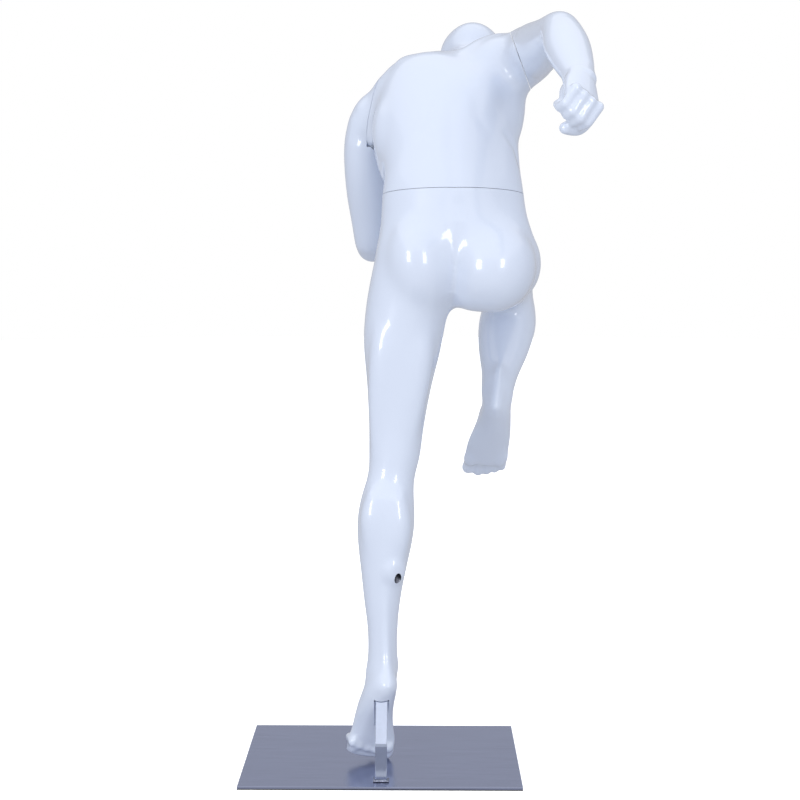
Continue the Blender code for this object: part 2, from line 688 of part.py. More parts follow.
def foot_hardware(shell, steel):
    """The sleeve that takes the post, its lock screw and the tube in the calf, and their places in the shell."""
    frame = post_frame()
    clear = 0.0004
    inner = (POST_WIDTH + 2 * clear, POST_THICK + 2 * clear)
    outer = [side + 2 * SLEEVE_WALL for side in inner]
    end = POST_REACH + 0.0065

    sleeve = box("foot_socket", (*outer, end - SLEEVE_START), (0, 0, (end + SLEEVE_START) / 2), frame)
    room = box("room", (*inner, POST_REACH + 0.002), (0, 0, POST_REACH / 2), frame)
    combine(sleeve, room, "DIFFERENCE")
    pocket = [side + 2 * TOUCH_GAP for side in outer]
    hole = box("pocket", (*pocket, end - 0.03), (0, 0, (end + 0.03) / 2 + TOUCH_GAP), frame)
    combine(shell, hole, "DIFFERENCE")

    along = (LEFT_BALL - LEFT_HEEL).normalized()
    middle = LEFT_HEEL.lerp(LEFT_BALL, 0.37)
    slot_frame = Matrix.Translation((POST_X, middle.y, middle.z)) @ Matrix.Rotation(
        math.atan2(along.y, -along.z) + math.pi, 4, "X"
    )
    slot = box("slot", (pocket[0], 0.030, 0.070), (0, 0, 0), slot_frame)
    combine(shell, slot, "DIFFERENCE")

    lock = frame @ Matrix.Translation((0, 0, LOCK_PLACE)) @ Matrix.Rotation(-math.pi / 2, 4, "X")
    drill(sleeve, 0.0033, 0, 0.05, lock, sides=12)
    drill(shell, 0.0045, 0, 0.15, lock, sides=12)
    screw = cylinder("lock_screw", 0.0030, POST_THICK / 2 + TOUCH_GAP, POST_THICK / 2 + 0.014, lock, sides=12)
    drill(screw, 0.0016, POST_THICK / 2 + 0.009, 0.05, lock, sides=6)
    finish(sleeve, steel)
    finish(screw, steel)

    turn = CALF_HEADING.to_track_quat("Z", "Y").to_matrix().to_4x4()
    calf = Matrix.Translation(CALF_HOLE) @ turn
    tube = cylinder("calf_socket", CALF_TUBE, -0.001, CALF_DEPTH, calf, sides=20)
    drill(tube, CALF_TUBE - 0.002, -0.05, CALF_DEPTH - 0.004, calf, sides=20)
    drill(shell, CALF_TUBE + TOUCH_GAP, -0.05, 0.03, calf, sides=20)
    finish(tube, steel)


def main():
    clear_scene()
    white = material("gloss_white", (0.78, 0.83, 0.95), 0.12, coat=1.0)
    steel = material("brushed_steel", (0.42, 0.43, 0.47), 0.30, metallic=1.0)
    chrome = material("chrome", (0.75, 0.76, 0.80), 0.08, metallic=1.0)
    zinc = material("zinc_steel", (0.55, 0.55, 0.56), 0.35, metallic=1.0)
    wood = material("board", (0.62, 0.48, 0.32), 0.70)
    foam = material("foam", (0.05, 0.05, 0.055), 0.90)
    base(steel, chrome, foam)

    bare = {"foot": False}
    lower_forms = [(pelvis, {}), (trunk, {}), (left_leg, {}), (right_thigh, {})]
    lower_core = [(pelvis, {}), (trunk, {}), (left_leg, bare), (right_thigh, {})]
    lower = clay_of(lower_forms, "lower_body_shell", 2000)
    lower_hollow = clay_of(lower_core, "lower_hollow", 900, -WALL)
    solid_foot = box("solid_foot", (0.3, 0.3, 0.28), (0, 0, 0.14))
    combine(lower_hollow, solid_foot, "DIFFERENCE")

    leg = clay_of([(right_leg, {}), (right_hip, {})], "right_leg_shell", 1250)
    leg_hollow = clay_of([(right_leg, bare), (right_hip, {})], "leg_hollow", 560, -WALL)

    forms = (trunk, pelvis, left_shoulder, right_shoulder, chest_and_back, neck_and_head)
    body = [(form, {}) for form in forms]
    torso = clay_of(body, "torso_shell", 2000)
    torso_hollow = clay_of(body, "torso_hollow", 900, -WALL)

    open_hand = {"hand": False}
    right = clay_of([(right_arm, {}), (right_shoulder, {})], "right_arm_shell", 1000)
    right_hollow = clay_of([(right_arm, open_hand), (right_shoulder, {})], "right_hollow", 340, -WALL)
    left = clay_of([(left_arm, {}), (left_shoulder, {})], "left_arm_shell", 1000)
    left_hollow = clay_of([(left_arm, open_hand), (left_shoulder, {})], "left_hollow", 340, -WALL)
    combine(left, beside(torso, LEFT_ARM, SEAM_GAP, 0.0), "DIFFERENCE")
    combine(left_hollow, beside(torso, LEFT_ARM, SEAM_GAP + WALL, -0.003), "DIFFERENCE")

    fitting(WAIST, lower_hollow, torso_hollow, steel, zinc, wood)
    fitting(HIP, lower_hollow, leg_hollow, steel, zinc, wood)
    fitting(RIGHT_ARM, torso_hollow, right_hollow, steel, zinc, wood)
    fitting(LEFT_ARM, torso_hollow, left_hollow, steel, zinc, wood)

    for shell, hollow, cuts, origin in (
        (lower, lower_hollow, [(WAIST, "fixed"), (HIP, "fixed")], None),
        (leg, leg_hollow, [(HIP, "loose")], HIP),
        (torso, torso_hollow, [(WAIST, "loose"), (RIGHT_ARM, "fixed"), (LEFT_ARM, "fixed")], WAIST),
        (right, right_hollow, [(RIGHT_ARM, "loose")], RIGHT_ARM),
        (left, left_hollow, [(LEFT_ARM, "loose")], LEFT_ARM),
    ):
        combine(shell, hollow, "DIFFERENCE")
        for seam, keep in cuts:
            cut(shell, seam, keep)
        if shell is lower:
            foot_hardware(lower, steel)
        finish(shell, white, origin.centre if origin else None)


main()
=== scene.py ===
"""The looks of a sprinting display mannequin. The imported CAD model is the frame: its steel base and
keyed fittings stay and get their finishes, and its five plain shells are replaced by sculpted ones
on the same bodies.

Metres, +Z up. The figure runs towards +Y and its right side is +X.
"""

import math

import bmesh
import bpy
import numpy as np
from mathutils import Matrix, Vector
from mathutils.bvhtree import BVHTree


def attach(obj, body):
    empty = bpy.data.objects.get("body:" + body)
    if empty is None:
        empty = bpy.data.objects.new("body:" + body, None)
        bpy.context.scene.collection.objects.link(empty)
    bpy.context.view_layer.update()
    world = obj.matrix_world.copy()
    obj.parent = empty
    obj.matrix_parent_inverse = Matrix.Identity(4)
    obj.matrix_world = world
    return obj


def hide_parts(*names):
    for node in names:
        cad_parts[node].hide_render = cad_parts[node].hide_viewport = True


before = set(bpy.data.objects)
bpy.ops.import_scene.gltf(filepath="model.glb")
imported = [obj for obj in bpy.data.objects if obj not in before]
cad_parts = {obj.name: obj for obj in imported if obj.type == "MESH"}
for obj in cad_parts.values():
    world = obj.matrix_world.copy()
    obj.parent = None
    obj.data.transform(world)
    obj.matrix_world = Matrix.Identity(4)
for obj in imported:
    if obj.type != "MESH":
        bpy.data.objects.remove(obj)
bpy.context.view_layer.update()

# --- Sizes ------------------------------------------------
VOXEL = 0.0030  # of the outer skin
ARM_VOXEL = 0.0022
HOLLOW_VOXEL = 0.008
WALL = 0.006
SEAM_GAP = 0.0010
MELT = 0.024  # radius over which forms melt into each other
FINE_MELT = 0.005  # the same at the hands, the feet and the face
FILLET = 0.012  # radius that rounds the valleys between forms
FINE_FILLET = 0.0012
RINGS_A_SPAN = 5  # between two stations of a limb
LEAST_BALL = 0.004  # radius below which a ball is left out
OFF_THE_SKIN = 0.06  # distance at which a crease's path belongs to another skin
HEAT_ROUNDS = 40
SHARP_EDGE = math.radians(50)

LEFT_ANKLE = Vector((0.002, -0.055, 0.215))
LEFT_HEEL = Vector((0.015, -0.138, 0.196))
LEFT_BALL = Vector((-0.022, -0.052, 0.021))
RIGHT_KNEE = Vector((0.321, 0.545, 1.048))
RIGHT_ANKLE = Vector((0.263, 0.240, 0.792))
RIGHT_HEEL = Vector((0.258, 0.188, 0.748))
RIGHT_TOE = Vector((0.229, 0.372, 0.560))
HEAD = Vector((0.211, 0.480, 1.579))
RIGHT_SHOULDER = Vector((0.325, 0.185, 1.562))
RIGHT_ELBOW = Vector((0.364, -0.140, 1.570))
RIGHT_WRIST = Vector((0.383, -0.360, 1.447))
RIGHT_FIST = Vector((0.379, -0.425, 1.398))
LEFT_SHOULDER = Vector((-0.032, 0.280, 1.415))
LEFT_ELBOW = Vector((-0.031, 0.338, 1.120))
LEFT_WRIST = Vector((0.006, 0.552, 1.278))
LEFT_FIST = Vector((0.018, 0.615, 1.325))

# The foot post's place and lean, the sides of its sleeve's pocket, and the rod hole in the calf.
POST_X, POST_Y, POST_BEND_Z = 0.002, -0.164, 0.085
POST_LEAN = math.radians(33)
SLEEVE = (0.0322, 0.0168)
CALF_HOLE = Vector((0.0305, -0.0710, 0.438))
CALF_HEADING = Vector((-0.35, 0.45, 0.82)).normalized()
CALF_RADIUS = 0.0088

# Each seam's centre, its axis towards the loose piece, the radius of the cut and how far it clears.
SEAMS = {
    "waist": ((0.155, 0.078, 1.243), (0.0, 0.145, 0.989), 0.40, 0.50),
    "hip": ((0.256, 0.205, 1.083), (0.15, 0.985, 0.09), 0.19, 0.45),
    "right_arm": ((0.306, 0.203, 1.552), (0.93, -0.10, 0.35), 0.17, 0.30),
    "left_arm": ((-0.012, 0.268, 1.432), (-0.915, 0.366, 0.17), 0.17, 0.24),
}

# Where the skin keeps fine detail: a centre, the radius of full detail and the radius where it ends.
FINE_SPOTS = [
    (RIGHT_FIST, 0.062, 0.130),
    (LEFT_FIST, 0.062, 0.130),
    (Vector((-0.030, -0.020, 0.030)), 0.060, 0.130),
    (Vector((0.236, 0.385, 0.555)), 0.060, 0.130),
    (HEAD + Vector((0, 0.060, -0.030)), 0.105, 0.150),
    (Vector((0.044, 0.250, 1.540)), 0.010, 0.060),
    (CALF_HOLE, 0.018, 0.045),
]


def plainness(points):
    """1 where the skin is broad and smooth, falling to 0 inside the fine spots."""
    points = np.atleast_2d(np.asarray(points, float))
    coarse = np.ones(len(points))
    for centre, full, end in FINE_SPOTS:
        t = (np.linalg.norm(points - np.array(centre), axis=1) - full) / (end - full)
        t = np.clip(t, 0, 1)
        coarse = np.minimum(coarse, t * t * (3 - 2 * t))
    return coarse


def fillet_at(points):
    """The radius that valleys get at points."""
    return FINE_FILLET + (FILLET - FINE_FILLET) * plainness(points)


# --- Clay: overlapping forms that a remesh fuses into one skin 
def object_from(bm, name):
    mesh = bpy.data.meshes.new(name)
    bmesh.ops.recalc_face_normals(bm, faces=bm.faces)
    bm.to_mesh(mesh)
    bm.free()
    obj = bpy.data.objects.new(name, mesh)
    bpy.context.scene.collection.objects.link(obj)
    return obj


def apply_modifiers(obj):
    graph = bpy.context.evaluated_depsgraph_get()
    mesh = bpy.data.meshes.new_from_object(obj.evaluated_get(graph))
    obj.modifiers.clear()
    obj.data = mesh
    return obj


class Clay:
    """Limbs and balls. The outer skin grows each form by the fillet, and the hollow shrinks it."""

    def __init__(self, hollow=False):
        self.bm = bmesh.new()
        self.hollow = hollow

    def grow(self, point):
        return -WALL if self.hollow else float(fillet_at(point)[0])

    def ball(self, centre, radii, along=(0, 0, 1)):
        """An ellipsoid: two radii across and one along a direction."""
        grow = self.grow(centre)
        if min(radii) + grow < LEAST_BALL:
            return
        turn = Vector(along).to_track_quat("Z", "Y").to_matrix().to_4x4()
        size = Matrix.Diagonal([r + grow for r in radii] + [1.0])
        place = Matrix.Translation(Vector(centre)) @ turn @ size
        bmesh.ops.create_icosphere(self.bm, subdivisions=4, radius=1.0, matrix=place)

    def limb(self, stations, front, sides=32, dome=0.6):
        """A tube with domed ends through stations: x, y, z, half width, depth in front and behind."""
        path = [tuple(s) for s in stations]
        if self.hollow and min(min(row[3:]) for row in path) < 2 * WALL:
            return
        spans = range(len(path) - 1)
        dense = [self._between(path, i, k / RINGS_A_SPAN) for i in spans for k in range(RINGS_A_SPAN)]
        dense.append(path[-1])
        points = [Vector(row[:3]) for row in dense]
        rings = []
        for i, row in enumerate(dense):
            heading = (points[min(i + 1, len(points) - 1)] - points[max(i - 1, 0)]).normalized()
            across = heading.cross(Vector(front)).normalized()
            ahead = across.cross(heading).normalized()
            sizes = [r + self.grow(points[i]) for r in row[3:]]
            if i == 0:
                rings += self._dome(points[i], -heading, across, ahead, sizes, sides, dome)[::-1]
            rings.append(self._ring(points[i], across, ahead, sizes, sides))
            if i == len(dense) - 1:
                rings += self._dome(points[i], heading, across, ahead, sizes, sides, dome)
        self._skin(rings)

    def strand(self, points, radii, front=(0, 0, 1), flat=1.0, sides=16):
        """A round or flattened cord of clay through points, with one radius for each."""
        stations = [(*p, r, r * flat, r * flat) for p, r in zip(points, radii)]
        self.limb(stations, front, sides=sides, dome=0.9)

    def muscles(self, rows, front):
        """Flattened strands, each through points (x, y, z, radius)."""
        for row in rows:
            self.strand([p[:3] for p in row], [p[3] for p in row], front, flat=0.8, sides=24)

    @staticmethod
    def _between(path, i, t):
        """A Catmull-Rom blend of the rows on either side."""
        a, b, c, d = (path[min(max(i + k, 0), len(path) - 1)] for k in (-1, 0, 1, 2))
        weights = (
            -t + 2 * t * t - t**3,
            2 - 5 * t * t + 3 * t**3,
            t + 4 * t * t - 3 * t**3,
            t**3 - t * t,
        )
        rows = (a, b, c, d)
        return tuple(sum(w * row[n] for w, row in zip(weights, rows)) / 2 for n in range(len(b)))

    @staticmethod
    def _ring(centre, across, ahead, sizes, sides):
        width, fore, aft = sizes
        ring = []
        for k in range(sides):
            angle = 2 * math.pi * k / sides
            depth = fore if math.sin(angle) > 0 else aft
            ring.append(centre + across * width * math.cos(angle) + ahead * depth * math.sin(angle))
        return ring

    def _dome(self, centre, outward, across, ahead, sizes, sides, dome):
        rings = []
        rise = dome * min(sizes)
        for degrees in (20, 40, 60, 75, 85):
            angle = math.radians(degrees)
            shrunk = [r * math.cos(angle) for r in sizes]
            place = centre + outward * rise * math.sin(angle)
            rings.append(self._ring(place, across, ahead, shrunk, sides))
        return rings

    def _skin(self, rings):
        loops = [[self.bm.verts.new(p) for p in ring] for ring in rings]
        for lower, upper in zip(loops, loops[1:]):
            for k in range(len(lower)):
                n = (k + 1) % len(lower)
                self.bm.faces.new((lower[k], lower[n], upper[n], upper[k]))
        self.bm.faces.new(loops[0][::-1])
        self.bm.faces.new(loops[-1])

    def fire(self, name, voxel):
        obj = object_from(self.bm, name)
        remesh = obj.modifiers.new("Remesh", "REMESH")
        remesh.mode = "VOXEL"
        remesh.voxel_size = voxel
        return apply_modifiers(obj)


class Skin:
    """The points of a fired piece, for brushes that relax, push and crease it."""

    def __init__(self, obj, voxel):
        self.obj = obj
        self.voxel = voxel
        mesh = obj.data
        self.points = np.empty(len(mesh.vertices) * 3)
        mesh.vertices.foreach_get("co", self.points)
        self.points = self.points.reshape(-1, 3)
        edges = np.empty(len(mesh.edges) * 2, int)
        mesh.edges.foreach_get("vertices", edges)
        self.ends = edges.reshape(-1, 2)
        self.degree = np.bincount(self.ends.ravel(), minlength=len(self.points))[:, None]

    def store(self):
        self.obj.data.vertices.foreach_set("co", self.points.ravel())
        self.obj.data.update()

    def normals(self):
        self.store()
        out = np.empty(self.points.size)
        self.obj.data.vertices.foreach_get("normal", out)
        return out.reshape(-1, 3)

    def _pull(self, values):
        """Each point's mean neighbour, less the point itself."""
        a, b = self.ends[:, 0], self.ends[:, 1]
        total = np.empty_like(values)
        for n in range(values.shape[1]):
            column = values[:, n]
            total[:, n] = np.bincount(a, column[b], len(values)) + np.bincount(b, column[a], len(values))
        return total / self.degree - values

    def relax(self, rounds, weight=1.0):
        """Smooths the skin. A second step of the opposite sign stops it from shrinking."""
        weight = np.broadcast_to(weight, (len(self.points),))[:, None]
        for _ in range(rounds):
            self.points += 0.5 * weight * self._pull(self.points)
            self.points -= 0.52 * weight * self._pull(self.points)

    def polish(self, rounds, weight=1.0):
        """Smooths along the normals alone, which takes out the marks that the remesh grid leaves."""
        for _ in range(rounds):
            normals = self.normals()
            lift = 0.5 * weight * (self._pull(self.points) * normals).sum(1)
            self.points += lift[:, None] * normals

    def _spread(self, values, radius):
        """Values averaged over a radius along the skin: an implicit heat step, by conjugate gradients."""
        a, b = self.ends[:, 0], self.ends[:, 1]
        share = 4 * (radius / self.voxel) ** 2

        def weigh(x):
            out = self.degree * (1 + share) * x
            for n in range(x.shape[1]):
                column = x[:, n]
                out[:, n] -= share * (
                    np.bincount(a, column[b], len(x)) + np.bincount(b, column[a], len(x))
                )
            return out

        found = values.copy()
        rest = self.degree * values - weigh(found)
        step = rest.copy()
        size = (rest * rest).sum(0)
        for _ in range(HEAT_ROUNDS):
            moved = weigh(step)
            far = size / np.maximum((step * moved).sum(0), 1e-30)
            found += far * step
            rest -= far * moved
            new = (rest * rest).sum(0)
            step = rest + new / np.maximum(size, 1e-30) * step
            size = new
        return found

    def melt(self, radius, weight):
        """Melts forms into each other over a wide radius, and puts back what that shrinks."""
        once = self._spread(self.points, radius)
        smooth = once + self._spread(self.points - once, radius)
        self.points += np.asarray(weight)[:, None] * (smooth - self.points)

    def meet(self, other, seam, width, reach=0.045):
        """Lays the skin around a seam onto another skin, so that both shells share one surface there."""
        centre, axis = (Vector(v) for v in SEAMS[seam][:2])
        axis.normalize()
        faces = [list(face.vertices) for face in other.obj.data.polygons]
        tree = BVHTree.FromPolygons(other.points.tolist(), faces)
        away = self.points - np.array(centre)
        along = away @ np.array(axis)
        aside = np.linalg.norm(away - along[:, None] * np.array(axis), axis=1)
        fade = np.clip(1.6 - 1.6 * np.abs(along) / reach, 0, 1) * np.clip((width - aside) / 0.03, 0, 1)
        for i in np.flatnonzero(fade > 0):
            spot = tree.find_nearest(Vector(self.points[i]))[0]
            self.points[i] += fade[i] * (np.array(spot) - self.points[i])
        self.relax(2, fade < 0.9)
        self.store()

    def inset(self, depth):
        self.points -= self.normals() * np.asarray(depth)[:, None]

    def crease(self, path, width, depth):
        """Presses a soft line into the skin along a path, or raises it where depth is negative. A skin
        that the path doesn't lie on stays as it is."""
        path = np.array([tuple(p) for p in path], float)
        nearest = [np.argmin(((self.points - p) ** 2).sum(1)) for p in path]
        if np.linalg.norm(self.points[nearest] - path, axis=1).max() > OFF_THE_SKIN:
            return
        path = self.points[nearest]
        best = np.full(len(self.points), np.inf)
        end_fade = np.ones(len(self.points))
        spans = np.linalg.norm(np.diff(path, axis=0), axis=1)
        whole, done = spans.sum(), 0.0
        for a, b, span in zip(path, path[1:], spans):
            t = np.clip((self.points - a) @ (b - a) / span**2, 0, 1)
            away = np.linalg.norm(self.points - a - t[:, None] * (b - a), axis=1)
            nearer = away < best
            best = np.where(nearer, away, best)
            along = (done + t * span) / whole
            end_fade = np.where(nearer, np.clip(4 * np.minimum(along, 1 - along) + 0.15, 0, 1), end_fade)
            done += span
        press = depth * np.exp(-((best / width) ** 2)) * end_fade
        self.points -= self.normals() * press[:, None]


# --- The figure's forms -----------------------------------
UP = (0, 0, 1)
AHEAD = (0, 1, 0)
TENDON = (0.016, 0.0115, 0.0105, 0.016)  # radii of the heel's tendon, from the calf down


def pelvis(clay):
    clay.limb(
        [
            (0.158, 0.066, 1.050, 0.125, 0.080, 0.090),
            (0.160, 0.064, 1.090, 0.168, 0.098, 0.105),
            (0.160, 0.064, 1.140, 0.171, 0.106, 0.108),
            (0.157, 0.070, 1.190, 0.160, 0.106, 0.103),
            (0.155, 0.079, 1.245, 0.155, 0.106, 0.098),
        ],
        AHEAD,
        sides=64,
    )
    clay.ball((0.082, 0.012, 1.090), (0.080, 0.074, 0.110), along=(-0.1, 0.0, 1.0))
    clay.ball((0.237, 0.012, 1.088), (0.096, 0.088, 0.101), along=(0.1, 0.3, 1.0))
    clay.ball((0.204, 0.016, 1.038), (0.060, 0.060, 0.048))
    clay.ball((0.030, 0.060, 1.100), (0.045, 0.075, 0.090))
    right_hip(clay)


def right_hip(clay):
    clay.ball((0.286, 0.080, 1.094), (0.064, 0.085, 0.084))


def right_groin(clay):
    """The near part of the pelvis, for the leg that is cut from it."""
    clay.ball((0.237, 0.012, 1.088), (0.096, 0.088, 0.101), along=(0.1, 0.3, 1.0))


def left_leg(clay):
    clay.limb(
        [
            (0.062, 0.055, 1.090, 0.080, 0.082, 0.085),
            (0.056, 0.052, 1.010, 0.089, 0.090, 0.092),
            (0.045, 0.046, 0.920, 0.086, 0.088, 0.086),
            (0.038, 0.038, 0.830, 0.071, 0.082, 0.076),
            (0.032, 0.026, 0.740, 0.0600, 0.071, 0.064),
            (0.028, 0.013, 0.680, 0.0565, 0.061, 0.055),
            (0.021, 0.004, 0.632, 0.0505, 0.055, 0.049),
            (0.014, -0.006, 0.585, 0.0585, 0.050, 0.056),
            (0.010, -0.014, 0.535, 0.0630, 0.048, 0.064),
            (0.007, -0.022, 0.485, 0.0585, 0.045, 0.060),
            (0.004, -0.030, 0.430, 0.0490, 0.042, 0.051),
            (0.002, -0.037, 0.370, 0.0405, 0.038, 0.043),
            (0.003, -0.044, 0.310, 0.0335, 0.034, 0.038),
            (0.003, -0.050, 0.260, 0.0325, 0.033, 0.038),
            (0.002, -0.057, 0.215, 0.0330, 0.036, 0.043),
            (0.000, -0.062, 0.185, 0.0310, 0.036, 0.048),
        ],
        AHEAD,
    )
    if clay.hollow:
        return
    # Thigh muscles in front and behind, knee, and the two heads of the calf.
    clay.muscles(
        [
            [(0.030, 0.060, 1.060, 0.020), (0.004, 0.094, 0.950, 0.030),
             (0.002, 0.088, 0.820, 0.031), (0.006, 0.050, 0.690, 0.016)],
            [(0.070, 0.060, 1.000, 0.020), (0.062, 0.090, 0.900, 0.028),
             (0.058, 0.074, 0.780, 0.032), (0.046, 0.040, 0.680, 0.020)],
            [(0.050, 0.070, 1.080, 0.020), (0.030, 0.108, 0.970, 0.030),
             (0.028, 0.096, 0.840, 0.032), (0.024, 0.050, 0.690, 0.018)],
            [(0.030, 0.030, 1.060, 0.020), (0.014, -0.010, 0.940, 0.034),
             (0.004, -0.012, 0.820, 0.033), (-0.010, -0.012, 0.670, 0.012)],
            [(0.070, 0.030, 1.060, 0.020), (0.080, -0.006, 0.940, 0.034),
             (0.068, -0.012, 0.820, 0.032), (0.050, -0.014, 0.660, 0.012)],
        ],
        AHEAD,
    )
    clay.ball((0.022, 0.050, 0.646), (0.027, 0.017, 0.032))
    inner = [
        (0.030, -0.052, 0.600, 0.022, 0.02, 0.016),
        (0.036, -0.058, 0.530, 0.029, 0.02, 0.026),
        (0.026, -0.060, 0.450, 0.021, 0.02, 0.018),
    ]
    clay.limb(inner, AHEAD)
    clay.ball(CALF_HOLE + Vector((-0.009, 0.015, 0.0)), (0.019, 0.019, 0.028))
    outer = [
        (-0.008, -0.050, 0.605, 0.022, 0.02, 0.016),
        (-0.016, -0.056, 0.545, 0.029, 0.02, 0.025),
        (-0.012, -0.060, 0.470, 0.020, 0.02, 0.016),
    ]
    clay.limb(outer, AHEAD)
    tendon = [(0.008, -0.066, 0.410), (0.009, -0.078, 0.310), (0.012, -0.097, 0.240),
              (0.015, -0.124, 0.200)]
    clay.strand(tendon, TENDON, AHEAD)
    clay.ball((0.028, -0.053, 0.226), (0.0120, 0.016, 0.021))
    clay.ball((-0.024, -0.062, 0.214), (0.0120, 0.015, 0.021))
    foot(clay, LEFT_HEEL, LEFT_BALL, LEFT_ANKLE, Vector((-0.18, 0.984, 0.0)), -1)


def right_thigh(clay):
    clay.limb(
        [
            (0.233, 0.090, 1.084, 0.084, 0.085, 0.090),
            (0.252, 0.170, 1.082, 0.088, 0.088, 0.092),
            (0.272, 0.270, 1.077, 0.080, 0.085, 0.082),
            (0.290, 0.370, 1.069, 0.069, 0.075, 0.069),
            (0.305, 0.460, 1.060, 0.058, 0.063, 0.056),
            (0.318, 0.535, 1.050, 0.050, 0.050, 0.050),
        ],
        UP,
    )
    if clay.hollow:
        return
    clay.muscles(
        [
            [(0.262, 0.110, 1.100, 0.020), (0.304, 0.220, 1.112, 0.030),
             (0.322, 0.340, 1.106, 0.032), (0.324, 0.490, 1.064, 0.016)],
            [(0.240, 0.140, 1.090, 0.020), (0.236, 0.240, 1.110, 0.028),
             (0.262, 0.370, 1.100, 0.030), (0.296, 0.500, 1.060, 0.018)],
            [(0.252, 0.090, 1.110, 0.020), (0.264, 0.200, 1.138, 0.030),
             (0.290, 0.330, 1.124, 0.031), (0.314, 0.490, 1.072, 0.018)],
            [(0.252, 0.110, 1.050, 0.020), (0.284, 0.210, 1.016, 0.032),
             (0.306, 0.330, 1.018, 0.030), (0.328, 0.480, 1.030, 0.012)],
            [(0.230, 0.110, 1.050, 0.020), (0.226, 0.210, 1.014, 0.031),
             (0.252, 0.330, 1.015, 0.029), (0.292, 0.480, 1.028, 0.012)],
        ],
        UP,
    )


def right_leg(clay):
    right_thigh(clay)
    shank = RIGHT_ANKLE - RIGHT_KNEE
    sizes = [
        (0.00, 0.045, 0.046, 0.044),
        (0.16, 0.053, 0.046, 0.052),
        (0.30, 0.066, 0.046, 0.060),
        (0.43, 0.070, 0.045, 0.061),
        (0.56, 0.065, 0.043, 0.055),
        (0.69, 0.057, 0.039, 0.046),
        (0.83, 0.045, 0.036, 0.040),
        (0.93, 0.040, 0.036, 0.041),
        (1.00, 0.037, 0.036, 0.043),
    ]
    clay.limb([(*(RIGHT_KNEE + shank * t), *size) for t, *size in sizes], (0, 0.64, -0.77))
    if clay.hollow:
        return
    clay.ball(RIGHT_KNEE + Vector((0.003, 0.026, 0.006)), (0.028, 0.030, 0.034), along=(0, 1, 0.2))
    back = Vector((0, -0.64, 0.77))
    for side in (-1, 1):
        rows = []
        for t, out, lift, width, depth in (
            (0.14, 0.018, 0.026, 0.022, 0.018),
            (0.36, 0.026, 0.036, 0.032, 0.028),
            (0.60, 0.021, 0.030, 0.021, 0.018),
        ):
            centre = RIGHT_KNEE + shank * (t + 0.02 * side) + Vector((out * side, 0, 0)) + back * lift
            rows.append((*centre, width, depth, depth))
        clay.limb(rows, back)
    lifts = ((0.68, 0.030), (0.86, 0.034), (0.96, 0.047))
    tendon = [RIGHT_KNEE + shank * t + back * lift for t, lift in lifts]
    tendon.append(RIGHT_HEEL + Vector((0.0, 0.004, 0.014)))
    clay.strand(tendon, TENDON, back)
    clay.ball(RIGHT_ANKLE + Vector((0.027, 0.000, -0.008)), (0.0120, 0.016, 0.020))
    clay.ball(RIGHT_ANKLE + Vector((-0.026, 0.004, 0.004)), (0.0120, 0.015, 0.020))
    along = (RIGHT_TOE - RIGHT_HEEL).normalized()
    toes = (along + Vector((0, 0.12, 0.02))).normalized()
    foot(clay, RIGHT_HEEL, RIGHT_HEEL + along * 0.195, RIGHT_ANKLE, toes, 1)


def foot(clay, heel, ball, ankle, toes, outer):
    """A foot from the points of the sole under its heel and ball. The toes run along a direction of
    their own, and outer is +1 or -1 for which way the little toe lies across the foot."""
    along = (ball - heel).normalized()
    top = (ankle - heel) - along * (ankle - heel).dot(along)
    top.normalize()
    side = along.cross(top) * outer
    length = (ball - heel).length

    def at(share, across, lift):
        return heel + along * length * share + side * across + top * lift

    sections = [
        (0.04, 0.000, 0.029, 0.026, 0.030),
        (0.18, 0.004, 0.035, 0.034, 0.034),
        (0.36, 0.007, 0.038, 0.042, 0.036),
        (0.52, 0.007, 0.044, 0.040, 0.031),
        (0.70, 0.004, 0.049, 0.031, 0.024),
        (0.86, 0.002, 0.052, 0.023, 0.019),
        (1.00, 0.002, 0.053, 0.017, 0.016),
    ]
    clay.limb([(*at(share, shift, below + 0.002), width, above, below)
               for share, shift, width, above, below in sections], top, dome=0.8)
    instep = [
        (*at(0.36, 0.0, 0.070), 0.031, 0.030, 0.036),
        (*at(0.52, -0.004, 0.056), 0.028, 0.024, 0.032),
        (*at(0.74, -0.008, 0.038), 0.026, 0.015, 0.026),
    ]
    clay.limb(instep, top)
    clay.ball(at(0.07, 0.0, 0.032), (0.0285, 0.030, 0.033), along=top)
    clay.ball(at(0.98, -0.033, 0.020), (0.018, 0.018, 0.026), along=along)
    clay.ball(at(0.90, 0.040, 0.015), (0.014, 0.014, 0.026), along=along)
    lift = (top - toes * top.dot(toes)).normalized()
    for place, back, reach, thick in (
        (-0.0345, 0.010, 0.058, 0.0158),
        (-0.0100, 0.006, 0.058, 0.0118),
        (0.0095, 0.010, 0.053, 0.0112),
        (0.0275, 0.016, 0.047, 0.0106),
        (0.0440, 0.024, 0.040, 0.0106),
    ):
        start = ball + side * (place + 0.003) + lift * thick * 1.15 - along * back
        knuckle = start.lerp(start + toes * reach, 0.55) + lift * 0.0030
        tip = start + toes * reach - lift * 0.0015
        rows = [(start, 1.0), (knuckle, 0.98), (tip - toes * 0.004, 1.04), (tip, 0.96)]
        clay.limb([(*point, thick * size, thick * size, thick * size) for point, size in rows], lift,
                  sides=16, dome=0.85)


def trunk(clay):
    clay.limb(
        [
            (0.155, 0.074, 1.215, 0.157, 0.106, 0.102),
            (0.155, 0.079, 1.245, 0.155, 0.106, 0.098),
            (0.154, 0.104, 1.300, 0.149, 0.106, 0.096),
            (0.148, 0.142, 1.360, 0.153, 0.112, 0.104),
            (0.146, 0.186, 1.415, 0.160, 0.118, 0.110),
            (0.152, 0.232, 1.462, 0.152, 0.112, 0.104),
            (0.170, 0.280, 1.500, 0.110, 0.085, 0.078),
        ],
        AHEAD,
        sides=64,
    )


